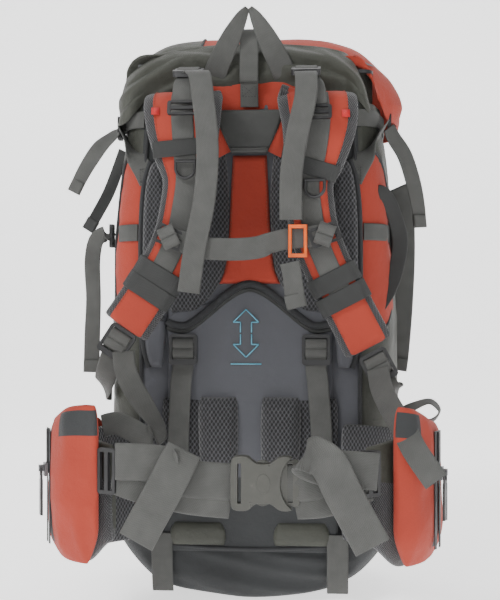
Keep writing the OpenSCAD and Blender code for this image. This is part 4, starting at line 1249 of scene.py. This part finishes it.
place(strip("centre_web_lower", [[0, -13.4, 620, 21, 0], [0, -12.6, 604, 21, 0], [0, -10, 592, 21, 0],
    [0, -8.6, 584, 21, 0]], 1.8, WEB), "pack", "webbing_grey")
web_piece("centre_web", [[0, -3, 676, 22, 0], [0, -9, 672, 22, 0], [0, -14, 655, 22, 0], [0, -17, 634, 22, 0],
    [0, -18, 616, 22, 0], [0, -14.5, 612.5, 22, 0], [0, -11.5, 618, 22, 0]], "pack", "centre_strap")
box_tack("centre_tack", (0, -14.8, 602), Vector((8, 0, 0)), Vector((0, 1.4, 7)), "pack")
haul = [[-43, -5, 617, 27, 1, 0, 0.35], [-36, -12, 634, 27, 1, 0, -0.45], [-22, -19, 661, 24, 1, 0, -0.5],
    [-9, -23, 685, 15, 0.95, 0.2, -0.5], [-1.5, -24, 696.5, 7, 0.7, 0.6, -0.2]]
left_leg = ribbon("haul_leg", haul, 2, WEB)
haul = [[-x, y, z, w, fx, -fy, -fz] for x, y, z, w, fx, fy, fz in haul]
right_leg = ribbon("haul_leg_b", haul, 2, WEB)
place(joined("haul_webbing", left_leg, right_leg), "haul_handle", "webbing_grey", "haul_loop")

for side, word in HANDS:
    web_piece(f"bottom_web_{word}", [web(side * 103, -9.4, 84), web(side * 103, -11, 66),
        web(side * 103, -9, 44), web(side * 103, -5, 24), web(side * 103, -1, 14)], "pack", "bottom_straps")
    for z in (572, 438):
        half = bag_half(z) + 1.2
        web_piece(f"side_web_{word}_{z}", [[side * (waist(half - 24, 0)), -1.6, z, 20, 0],
            [side * (waist(half - 12, 4) + 2), 4, z, 20, 0], [side * (waist(half, 18) + 1), 18, z, 20, 0],
            [side * (waist(half, 38) + 1), 38, z, 20, 0], [side * (waist(half, 80) + 1), 80, z, 20, 0],
            [side * (half + 1), 150, z, 20, 0]], "pack", "compression_straps", hint=(0, 0, 1))


def hemmed(name, route, body, width, material=WEB):
    """A loose end of webbing with its tip folded over and sewn."""
    tip = route[-1]
    last = route[-2]
    line = Vector(tip[:3]) - Vector(last[:3])
    line.normalize()
    main = strip(name, route, 1.8, material)
    hem_start = Vector(tip[:3]) - line * 15
    rows = [[*hem_start, width + 0.6, tip[4]], [*(Vector(tip[:3]) - line * 8), width + 0.6, tip[4]],
        [*(Vector(tip[:3]) + line * 0.8), width + 0.6, tip[4]]]
    fold = strip(name + "_hem", rows, 4.4, material, steps=3, wander=0)
    return place(joined(name, main, fold), body, "webbing_grey")


hemmed("side_tail_left_top", [[-168, 60, 568, 20, 60], [-176, 60, 562, 20, 40], [-192, 60, 548, 20, 20],
    [-209, 66, 526, 20, 20], [-221, 70, 506, 20, 25], [-227, 70, 494, 20, 30]], "pack", 20)
hemmed("side_tail_left_mid", [[-168, 92, 548, 18, 40], [-176, 96, 526, 18, 30], [-188, 98, 496, 18, 25],
    [-203, 98, 468, 18, 25], [-215, 98, 448, 18, 25]], "pack", 18, DARK_WEB)
hemmed("side_tail_left_low", [[-176, 60, 436, 20, 40], [-186, 62, 440, 20, 50], [-198, 66, 432, 20, 10],
    [-203, 68, 405, 20, 0], [-202, 70, 360, 20, 10], [-204, 72, 312, 20, 0], [-205, 72, 268, 20, 0]], "pack",
    20)
hemmed("side_tail_right_top", [[166, 54, 568, 20, -50], [172, 58, 556, 20, -30], [186, 62, 534, 20, -20],
    [197, 66, 500, 20, -20], [203, 70, 470, 20, -30], [205, 70, 448, 20, -40]], "pack", 20)
hemmed("side_tail_right_low", [[180, 100, 500, 24, 0], [188, 108, 480, 24, -10], [190, 110, 420, 24, -5],
    [187, 110, 350, 24, 0], [182, 108, 290, 24, 0], [179, 106, 270, 24, 0]], "pack", 24)
loop = [[150, 16, 486, 18, 0.2, 0.1, 0.95], [160, 22, 482, 18, 0.5, 0.1, 0.8],
    [170, 30, 462, 18, 0.9, 0.1, 0.4], [178, 36, 432, 19, 0.95, 0.1, 0.0], [175, 34, 402, 18, 0.9, 0, -0.4],
    [165, 28, 372, 18, 0.8, 0, -0.6], [150, 18, 348, 18, 0.7, 0, -0.7]]
laid("side_loop_right", loop, "pack", material=DARK_WEB)

for side, word in HANDS:
    x = side * 72
    web_piece(f"lid_web_{word}", [web(x, 274, 584), web(x, 270, 594), web(x, 265.4, 608), web(x, 264.4, 640)],
        "lid", "lid_straps")
    web_piece(f"anchor_web_{word}", [web(x, 249, 535), web(x, 240, 523), web(x, 217, 506), web(x, 214.4, 486),
        web(x, 214.2, 424)], "pack", "lid_strap_anchors")

# Chest strap
place(ribbon("chest_web", [[-84, -80, 427, 22, 0.25, 0, 0.97], [-72, -80, 424, 23, 0.2, 0, 0.97],
    [-60, -82, 419, 25, 0.1, 0, 1], [-40, -83, 415, 25, 0, 0, 1], [-10, -83.5, 414, 25, 0, 0, 1],
    [14, -83, 416, 25, 0, 0, 1], [28, -82, 421, 24, 0.3, -0.2, 0.9], [44, -80, 425, 23, 0.3, 0, 0.9],
    [62, -79.4, 427, 23, 0.2, 0, 1], [86, -79.6, 430, 23, 0.2, 0, 1]], 1.8, WEB), "sternum_strap",
    "webbing_grey", "sternum_webbing")
hemmed("chest_tail", [[50, -94, 399, 22, 0], [51, -94, 394, 22, 10], [53, -93, 382, 22, 15],
    [56, -91, 358, 22, 5], [58, -91, 350, 22, 0]], "sternum_strap", 22)

# Hip belt webbing
flat_up = (0, 0, 1)
place(ribbon("hip_band_left", [[-128, -184, 184, 38, *flat_up], [-104, -187, 182, 38, *flat_up],
    [-60, -190, 178, 38, *flat_up], [-24, -190.5, 175.5, 38, *flat_up], [0, -190, 174, 38, *flat_up]], 2.2,
    WEB), "pack", "webbing_grey", "hip_belt_webbing")
under = [[-122, -186, 178, 38, 0, 0, 1], [-96, -188, 170, 38, -0.15, 0, 1], [-50, -189, 160, 38, -0.2, 0, 1],
    [-6, -189.4, 152, 30, -0.2, 0, 1]]
laid("hip_under_left", under, "pack")
fold = [[-124, -190, 194, 38, 0.1, 0, 1], [-98, -193, 194, 38, 0.05, 0, 1], [-72, -195, 192, 38, -0.1, 0, 1],
    [-58, -199, 189, 38, -0.5, -0.3, 0.8]]
laid("hip_layer_left", fold, "pack")
fold = [[-52, -199, 208, 36, 0.86, 0.1, -0.5], [-60, -202, 192, 38, 0.88, 0, -0.46],
    [-74, -201, 165, 38, 0.88, 0, -0.46], [-90, -198, 136, 38, 0.87, 0, -0.48],
    [-102, -196, 114, 38, 0.86, 0, -0.5]]
laid("hip_tail_left", fold, "pack")
fold = [[142, -188, 186, 38, 0, 0, 1], [120, -192, 188, 38, 0, 0, 1], [96, -195, 190, 38, 0.1, 0, 1],
    [76, -200, 196, 38, 0.4, 0.1, 0.9], [68, -206, 203, 38, 0.55, 0.15, 0.8],
    [78, -210, 205, 38, 0.8, 0.1, 0.6], [92, -207, 196, 38, 0.9, 0, 0.4], [106, -203, 168, 38, 0.9, 0, 0.42],
    [122, -200, 138, 38, 0.88, 0, 0.46], [136, -197, 112, 38, 0.86, 0, 0.5]]
laid("hip_tail_right", fold, "pack")
under = [[58, -188.6, 152, 30, 0.2, 0, 1], [84, -188.6, 158, 38, 0.2, 0, 1], [112, -187, 166, 38, 0.15, 0, 1],
    [130, -184, 174, 38, 0, 0, 1]]
laid("hip_under_right", under, "pack")
hip_free = ribbon("hip_band_right", [[50, -190, 174, 38, *flat_up], [72, -190, 175, 38, *flat_up],
    [96, -188, 180, 38, *flat_up], [122, -185, 184, 38, *flat_up]], 2.2, WEB)
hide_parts("hip_buckle_webbing")
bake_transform(hip_free)

# ---------------------------------------------------------------- hip belt
BELT_X = 98
BELT_Y = -92


def round_belt(side, radius, angle, z):
    a = math.radians(angle)
    return at(side * (BELT_X + radius * math.cos(a)), BELT_Y + radius * math.sin(a), z)


WING_RADIUS = 80
POUCH_RADIUS = 102.3
POUCH_LOW = 86
POUCH_HIGH = 230
POUCH_NEAR = {-1: -62, 1: -52}
POUCH_FAR = 44
ZIP_ANGLE = -24


def pouch_z(t):
    """Heights that lie closer together at the foot and the top of a pocket."""
    return mix(POUCH_LOW, POUCH_HIGH, 0.5 - 0.5 * math.cos(math.pi * t))


def wing(side, word):
    ring = strap_ring(44)
    rows = []
    uvs = []
    for i in range(41):
        angle = mix(-68, 84, i / 40)
        tip = 1 - ease(angle, -68, -26)
        low = 78 + 30 * tip ** 1.5
        high = 214 - 6 * tip ** 1.5
        end = clamp(min(i, 40 - i) / 3)
        swell = math.sqrt(1 - (1 - end) ** 2) * 0.7 + 0.3
        row = []
        uv = []
        for u, v in ring:
            z = mix(low, high, (u * (0.97 + 0.03 * swell) + 1) / 2)
            bow = 3.0 * (1 - u * u) * max(v, 0)
            dip = 1.4 * math.exp(-((u - 0.32) / 0.06) ** 2) * (v > 0)
            r = WING_RADIUS + v * 7 * swell + bow - dip + 1.1 * ripple(angle * 1.4, u * 60, v * 20, 30,
                side + 2)
            row.append(round_belt(side, r, angle, z))
            uv.append((angle * 1.4 * MM, z * MM))
        rows.append(row)
        uvs.append(uv)

    def choose(r, c):
        u, v = ring_middle(ring, c)
        if v < -0.3:
            return 1
        return 0 if u > 0.32 else 2
    obj = surface(f"wing_pad_{word}", rows, [OLIVE, MESH, FINE_MESH], closed=True, slot=choose, uvs=uvs,
        flip=side < 0, caps=True)
    smooth(obj)
    place(obj, "pack", "shell_olive", f"hip_wing_{word}")
    return obj


def pouch(side, word):
    """A pocket of soft cloth round the wing: its top rises inwards to a point, and its foot is narrower."""
    ring = strap_ring(72)
    rows = []
    uvs = []
    for i in range(61):
        t = i / 60
        z = pouch_z(t)
        e = clamp(min(z - POUCH_LOW, POUCH_HIGH - z) / 26)
        body = math.sqrt(max(0.0, 1 - (1 - e) ** 2))
        high = ease(z, 170, 230)
        low = 1 - ease(z, 80, 126)
        row = []
        uv = []
        for u, v in ring:
            near = POUCH_NEAR[side] + 7 * low + 3 * (1 - body)
            angle = mix(near, POUCH_FAR - 6 * low - 5 * (1 - body), (u + 1) / 2)
            near_zip = math.exp(-((angle - ZIP_ANGLE) / 8) ** 2) * (v > 0.2) * (90 < z < 226)
            bow = 2.0 * (1 - u * u) * max(0.0, v) * (1 - near_zip) * body
            folds = 1.6 * ripple(angle * 1.6, 0, z, 34, side * 3 + 7)
            folds = folds + 4.4 * crease(angle * 2.4, 0, z * 0.45, 34, 5 + side) - 3.0
            folds *= (1 - near_zip) * max(0.0, v) * body
            thin = 5 * low + 5 * high * ease(angle, -20, 10) + 7 * (1 - ease(angle, -62, -40))
            r = POUCH_RADIUS + v * (14.6 - thin) * (0.25 + 0.75 * body) - thin * 0.5 + bow + folds
            peak = 22 * high * (1 - ease(angle, -56, -6)) - 8 * high * ease(angle, -10, 30)
            row.append(round_belt(side, r, angle, z + peak - 1.5 + 2 * high * ripple(angle, 0, 0, 16, 9)))
            uv.append((angle * 1.9 * MM, z * MM))
        rows.append(row)
        uvs.append(uv)

    def choose(r, c):
        u, v = ring_middle(ring, c)
        z = pouch_z((r + 0.5) / 60)
        angle = mix(POUCH_NEAR[side], POUCH_FAR, (u + 1) / 2)
        if v > 0.3 and abs(angle - ZIP_ANGLE) < 2.2 and 101 < z < 168:
            return 1
        return 2 if v < -0.9 or (angle < -40 and 206 < z < 225 and v > 0) else 0
    obj = surface(f"pouch_{word}", rows, [RUST, CHARCOAL, CHARCOAL], closed=True, slot=choose, uvs=uvs,
        flip=side < 0, caps=True)
    smooth(obj)
    place(obj, "pack", "shell_rust", "hip_pockets")
    return obj


for side, word in HANDS:
    wing(side, word)
    pouch(side, word)

# ---------------------------------------------------------------- lumbar area
LUMBAR_Y = -7.6


def lumbar_slot(r, c):
    if r < 12:
        return 2
    return 1 if 11 <= c <= 16 else 0


lumbar = pad("lumbar_cloth", [(62, -98, 98), (72, -103, 103), (150, -103, 103), (232, -103, 103),
    (243, -98, 98)], LUMBAR_Y + 2.9, 2.9, [MESH, SLATE, CHARCOAL], crown=1.2, edge=5, wander=0.6,
    slot=lumbar_slot)
place(lumbar, "pack", "fabric_grey", "lumbar_panel")
for side, word in HANDS:
    rows = [(160, 16, 55), (170, 14, 58), (200, 13, 60), (232, 14, 60), (244, 16, 57)]
    obj = pad(f"lumbar_mesh_{word}", outline_of(rows, side), LUMBAR_Y, 11.5, [MESH], crown=3.0, edge=12,
        wander=0.8)
    place(obj, "pack", "mesh_black", "lumbar_pads")
    rows = [(70, 30, 92), (78, 28, 94), (88, 29, 93), (97, 34, 88)]
    obj = pad(f"lumbar_foot_{word}", outline_of(rows, side), LUMBAR_Y, 6.0, [OLIVE], crown=1.6, edge=9,
        wander=1.2)
    place(obj, "pack", "fabric_charcoal", "lumbar_pads")
seam("base_piping", [(x, -6.5 - 1.5 * math.cos(x / 50), 66 + 5 * (x / 110) ** 2)
    for x in range(-130, 131, 13)], "pack", BINDING, 2.4)

# ---------------------------------------------------------------- front pocket
rows = []
for i in range(31):
    t = i / 30
    z = mix(121, 419, t)
    low = clamp(t / 0.1)
    base = math.sqrt(max(0.0, 1 - (1 - low) ** 2))
    row = []
    for k in range(41):
        u = mix(-1, 1, k / 40)
        e = clamp((1 - abs(u)) * 95 / 16)
        body = math.sqrt(max(0.0, 1 - (1 - e) ** 2)) * base
        bow = 9 * (1 - u * u) * math.sin(math.pi * clamp(0.1 + 0.8 * t))
        fold = 2.4 * crease(u * 80, 0, z, 55, 41) + 2 * ripple(u * 95, 0, z, 40, 12)
        row.append(at(u * 95, 214 + body * (20 + bow + fold * 0.8), z))
    rows.append(row)
pocket = surface("front_pouch", rows, [RUST])
smooth(pocket)
thicken(pocket, 1.6)
place(pocket, "pack", "shell_rust", "front_pocket")
edge = [(x, y - 0.4, z) for x, y, z in map(measured, rows[-1][::2])]
seam("front_pouch_rim", edge, "pack", BINDING, 2.6)

# ---------------------------------------------------------------- hardware
HARDWARE = ((BLACK, 0.3, ("frame_sheet",)), (ALUMINIUM, 0.4, ("frame_stays",)),
    (ORANGE, 0.6, ("sternum_hook",)), (BLACK, 0, ("drawcord", "d_ring_left", "d_ring_right")),
    (BLACK, 0.7, ("load_lifter_locks", "strap_locks", "compression_locks", "hip_triglides", "sternum_sliders",
    "centre_buckle", "lid_buckle_females", "lid_buckle_males")), (ZIP_METAL, 0.3,
    ("lid_zip_slider", "hip_zip_slider_left", "hip_zip_slider_right")),
    (BLACK, 0.4, ("lid_zip_pull", "hip_zip_pull_left", "hip_zip_pull_right")),
    (ZIP_TEETH, 0.2, ("hip_zips", "lid_zip")))
for material, bevel, nodes in HARDWARE:
    for node in nodes:
        dress(node, material, bevel)


def plate(name, outline, y0, y1, material, bevel=1.6, hole=None):
    """A moulded plate cut to an outline of x, z points, with rounded edges."""
    mesh = bmesh.new()
    rim = [mesh.verts.new(at(x, y0, z)) for x, z in outline]
    loops = [rim]
    if hole:
        loops.append([mesh.verts.new(at(x, y0, z)) for x, z in hole])
    edges = [mesh.edges.new((loop[i], loop[(i + 1) % len(loop)])) for loop in loops for i in range(len(loop))]
    bmesh.ops.triangle_fill(mesh, use_beauty=True, use_dissolve=False, edges=edges)
    grown = bmesh.ops.extrude_face_region(mesh, geom=mesh.faces[:])
    for item in grown["geom"]:
        if isinstance(item, bmesh.types.BMVert):
            item.co.y += (y1 - y0) * MM
    bmesh.ops.dissolve_limit(mesh, angle_limit=0.01, verts=mesh.verts[:], edges=mesh.edges[:])
    bmesh.ops.recalc_face_normals(mesh, faces=mesh.faces[:])
    data = bpy.data.meshes.new(name)
    mesh.to_mesh(data)
    mesh.free()
    data.materials.append(material)
    for face in data.polygons:
        face.use_smooth = True
    obj = bpy.data.objects.new(name, data)
    bpy.context.scene.collection.objects.link(obj)
    m = obj.modifiers.new("rounded", "BEVEL")
    m.width = bevel * MM
    m.segments = 3
    m.limit_method = "ANGLE"
    m.angle_limit = math.radians(40)
    m = obj.modifiers.new("even", "WEIGHTED_NORMAL")
    m.keep_sharp = True
    return settle(obj)


def curve_points(points, steps=5):
    return [row[:2] for row in spline([list(p) for p in points], steps)]


BUCKLE_X = 27
BUCKLE_Z = 174


def on_buckle(points, turn=1):
    """An outline given from the middle of the buckle, or turned upside down."""
    return [(BUCKLE_X + x, BUCKLE_Z + turn * z) for x, z in points]


upper = curve_points([(-33, 18), (-31, 25.5), (-24, 27.4), (-16, 26.8), (-11, 23), (-7, 20.4), (0, 19.6),
    (7, 20.4), (11, 23), (16, 26.4), (23, 27.4), (29, 26)])
inner = curve_points([(29, 26), (24, 21.5), (19.5, 14), (17.2, 6), (16.8, 0)])
half_rim = upper + inner[1:]
rim = on_buckle(half_rim) + on_buckle(reversed(half_rim[:-1]), -1)
slit = on_buckle(((-26, 20), (-22.5, 20), (-22.5, -20), (-26, -20)))
front = plate("buckle_front", rim, -196.4, -191.6, GUNMETAL, 1.5, slit)
behind = plate("buckle_behind", rim, -188.2, -184.6, GUNMETAL, 1.0, slit)
cheek = on_buckle(((-21, 19), (-13, 19), (-9, 14), (-9, -14), (-13, -19), (-21, -19)))
middle = plate("buckle_middle", cheek, -192.5, -187.5, GUNMETAL, 0.5)
raised = on_buckle((7 * math.cos(a * math.pi / 12), 10 * math.sin(a * math.pi / 12)) for a in range(24))
badge = plate("buckle_badge", raised, -196.9, -196.0, GUNMETAL, 0.4)
place(joined("buckle_female", front, behind, middle, badge), "pack", "plastic_olive", "hip_buckle_female")
tongue = on_buckle(((12, 8), (17, 20), (33, 24.5), (36, 22), (36, -22), (33, -24.5), (17, -20), (12, -8)))
gap = on_buckle(((24.5, 19.5), (29, 19.5), (29, -19.5), (24.5, -19.5)))
parts = [plate("tongue_bar", tongue, -191.2, -188.6, GUNMETAL, 0.8, gap)]
for turn in SIDES:
    arm = [(16, 15), (8, 19.5), (0, 23.2), (-6, 21.6), (-9, 17.5), (-6, 17.8), (0, 19.6), (7, 16.5), (14, 10)]
    arm = on_buckle(curve_points(arm, 3), turn)
    parts.append(plate(f"tongue_arm_{turn}", arm, -191.4, -188.4, GUNMETAL, 0.8))
place(joined("buckle_tongue", *parts), "buckle_tongue", "plastic_olive", "hip_buckle_male")


def lock_loops(name, origin, tilt, body, width=25, lean=0):
    """Webbing that shows between the bars of a ladder lock."""
    a = math.radians(tilt)
    b = math.radians(lean)
    rows = []
    pieces = []
    for n, path in enumerate((((1.5, 13), (-3.2, 10.5), (-4.5, 6), (-3.2, 2), (1, -0.5)),
            ((1, 1.5), (-3.4, 0), (-4.6, -4.2), (-3.4, -8.2), (1, -10.5)))):
        rows = []
        for y, z in path:
            y2 = y * math.cos(b) - z * math.sin(b)
            z2 = y * math.sin(b) + z * math.cos(b)
            rows.append([origin[0] + z2 * math.sin(a), origin[1] + y2, origin[2] + z2 * math.cos(a), width,
                math.cos(a), 0, -math.sin(a)])
        pieces.append(ribbon(f"{name}_{n}", rows, 1.7, WEB, steps=5))
    return place(joined(name, *pieces), body, "webbing_grey")


lock_loops("slider_web_left", (-84, -84.2, 427), -25, "sternum_strap", width=19)
lock_loops("slider_web_right", (88, -84.2, 429), 20, "sternum_strap", width=19)
lock_loops("lock_web_left", (-147, -61, 310), 33, "harness")
lock_loops("lock_web_right", (148, -61, 284), -28, "harness")
for side, word in HANDS:
    lock_loops(f"size_lock_web_{word}", (side * 78, LOCK_Y, 300), 0, "harness")
    lock_loops(f"lifter_lock_web_{word}", (side * 67, -46, 618), 0, "pack", lean=-70)

# ---------------------------------------------------------------- trims
def line_tube(name, points, radius, material, body, slot, steps=1):
    return place(tube(name, points, radius, material, sides=6, steps=steps), body, slot)


MARK_X = -4
MARK_Y = -10.2
for n, (top, bottom) in enumerate(((347, 320), (318, 291))):
    tip, neck = (top, bottom) if n == 0 else (bottom, top)
    turn = 1 if n == 0 else -1
    wide = 15
    stem = 6.5
    flare = tip - turn * 15
    outline = [(MARK_X - stem, neck), (MARK_X - stem, flare), (MARK_X - wide, flare), (MARK_X, tip),
        (MARK_X + wide, flare), (MARK_X + stem, flare), (MARK_X + stem, neck)]
    for k, ((xa, za), (xb, zb)) in enumerate(zip(outline, outline[1:])):
        line_tube(f"mark_{n}_{k}", [(xa, MARK_Y, za), (xb, MARK_Y, zb)], 0.75, BLUE_THREAD, "harness",
            "fabric_grey")
line_tube("mark_bar", [(MARK_X - 18, MARK_Y + 0.4, 283), (MARK_X + 18, MARK_Y + 0.4, 283)], 0.75, BLUE_THREAD,
    "harness", "fabric_grey")

for side, word in HANDS:
    rows = [[side * 160, 44, 566, 24, 0.35 * side, 0.3, -0.9], [side * 154, 22, 556, 24, 0.5 * side, 0.3,
        0.8], [side * 143, 3, 540, 24, 0.6 * side, 0.1, 0.8], [side * 130, -3, 518, 24, 0.75 * side, 0.1,
        0.7], [side * 120, -3.4, 498, 24, 0.8 * side, 0, 0.6]]
    rows[0][4:] = [0.45 * side, 0.3, 0.8]
    laid(f"yoke_brace_{word}", rows, "pack")
    rows = [[side * 152, -152, 206, 22, 1, 0.3 * side, 0], [side * 152, -158, 180, 22, 1, 0.3 * side, 0],
        [side * 151, -157, 140, 22, 1, 0.3 * side, 0], [side * 148, -154, 104, 22, 1, 0.3 * side, 0]]
    laid(f"wing_web_{word}", rows, "pack")
curl = [[172, -60, 232, 14, 0, 0.6, 0.8], [186, -66, 240, 14, 0, 0.8, 0.6],
    [204, -70, 246, 14, 0.2, 0.9, 0.3], [214, -72, 236, 14, 0.2, 0.9, 0.2],
    [206, -74, 226, 14, 0.2, 0.9, -0.3], [190, -76, 229, 14, 0, 0.9, 0.1]]
laid("pocket_curl", curl, "pack", thick=1.6)


# ---------------------------------------------------------------- stage
# The view, in degrees, metres and millimetres of lens
VIEW_TURN = 4
VIEW_DISTANCE = 1.3
VIEW_HEIGHT = 0.358
VIEW_LENS = 66.1
# Half the width of the part of the backdrop that glows, and how strongly
GLOW_HALF = 2.6
GLOW = 1.25


def stage_and_camera():
    """A floor that curves up into a backdrop, three soft lights and the camera."""
    def paper(name, glow):
        material = bpy.data.materials.new(name)
        material.use_nodes = True
        shader = material.node_tree.nodes["Principled BSDF"]
        shader.inputs["Base Color"].default_value = (0.95, 0.95, 0.95, 1)
        shader.inputs["Emission Color"].default_value = (1, 1, 1, 1)
        shader.inputs["Emission Strength"].default_value = glow
        shader.inputs["Roughness"].default_value = 0.9
        shader.inputs["Specular IOR Level"].default_value = 0.1
        return material

    across = (-7.0, -GLOW_HALF, GLOW_HALF, 7.0)
    arc = [(math.sin(a * math.pi / 24), 1.0 - math.cos(a * math.pi / 24)) for a in range(13)]
    profile = [(-4.0, 4.0)] + [(-3.0 - y, z) for y, z in reversed(arc)]
    near = len(profile) - 1
    profile += [(1.2 + y, z) for y, z in arc] + [(2.2, 4.0)]
    points = [Vector((x, y, z)) for y, z in profile for x in across]
    faces = []
    slots = []
    for r in range(len(profile) - 1):
        for c in range(3):
            i = r * 4 + c
            faces.append((i, i + 1, i + 5, i + 4))
            slots.append(0 if c == 1 and r >= near else 1)
    backdrop = make("backdrop", points, faces, [paper("backdrop", GLOW), paper("surround", 0.0)], slots=slots)

    scene = bpy.context.scene
    turn = math.radians(VIEW_TURN)
    target = Vector((0, BACK_Y, VIEW_HEIGHT))
    data = bpy.data.cameras.new("camera")
    data.sensor_width = 36
    data.lens = VIEW_LENS
    camera = bpy.data.objects.new("camera", data)
    scene.collection.objects.link(camera)
    camera.location = target + VIEW_DISTANCE * Vector((math.sin(turn), -math.cos(turn), 0))
    camera.rotation_euler = (math.radians(90), 0, turn)
    scene.camera = camera

    for name, place_at, size, power in (("key", (-1.4, -1.7, 2.2), 0.9, 50),
            ("fill", (1.9, -1.8, 1.2), 1.6, 10), ("top", (0, 0.2, 2.6), 1.4, 20)):
        light = bpy.data.lights.new(name, "AREA")
        light.size = size
        light.energy = power
        lamp = bpy.data.objects.new(name, light)
        scene.collection.objects.link(lamp)
        lamp.location = place_at
        lamp.rotation_euler = (target - Vector(place_at)).to_track_quat("-Z", "Y").to_euler()
    world = bpy.data.worlds.new("room")
    world.use_nodes = True
    world.node_tree.nodes["Background"].inputs["Color"].default_value = (1, 1, 1, 1)
    world.node_tree.nodes["Background"].inputs["Strength"].default_value = 0.2
    scene.world = world


stage_and_camera()
bpy.context.view_layer.update()
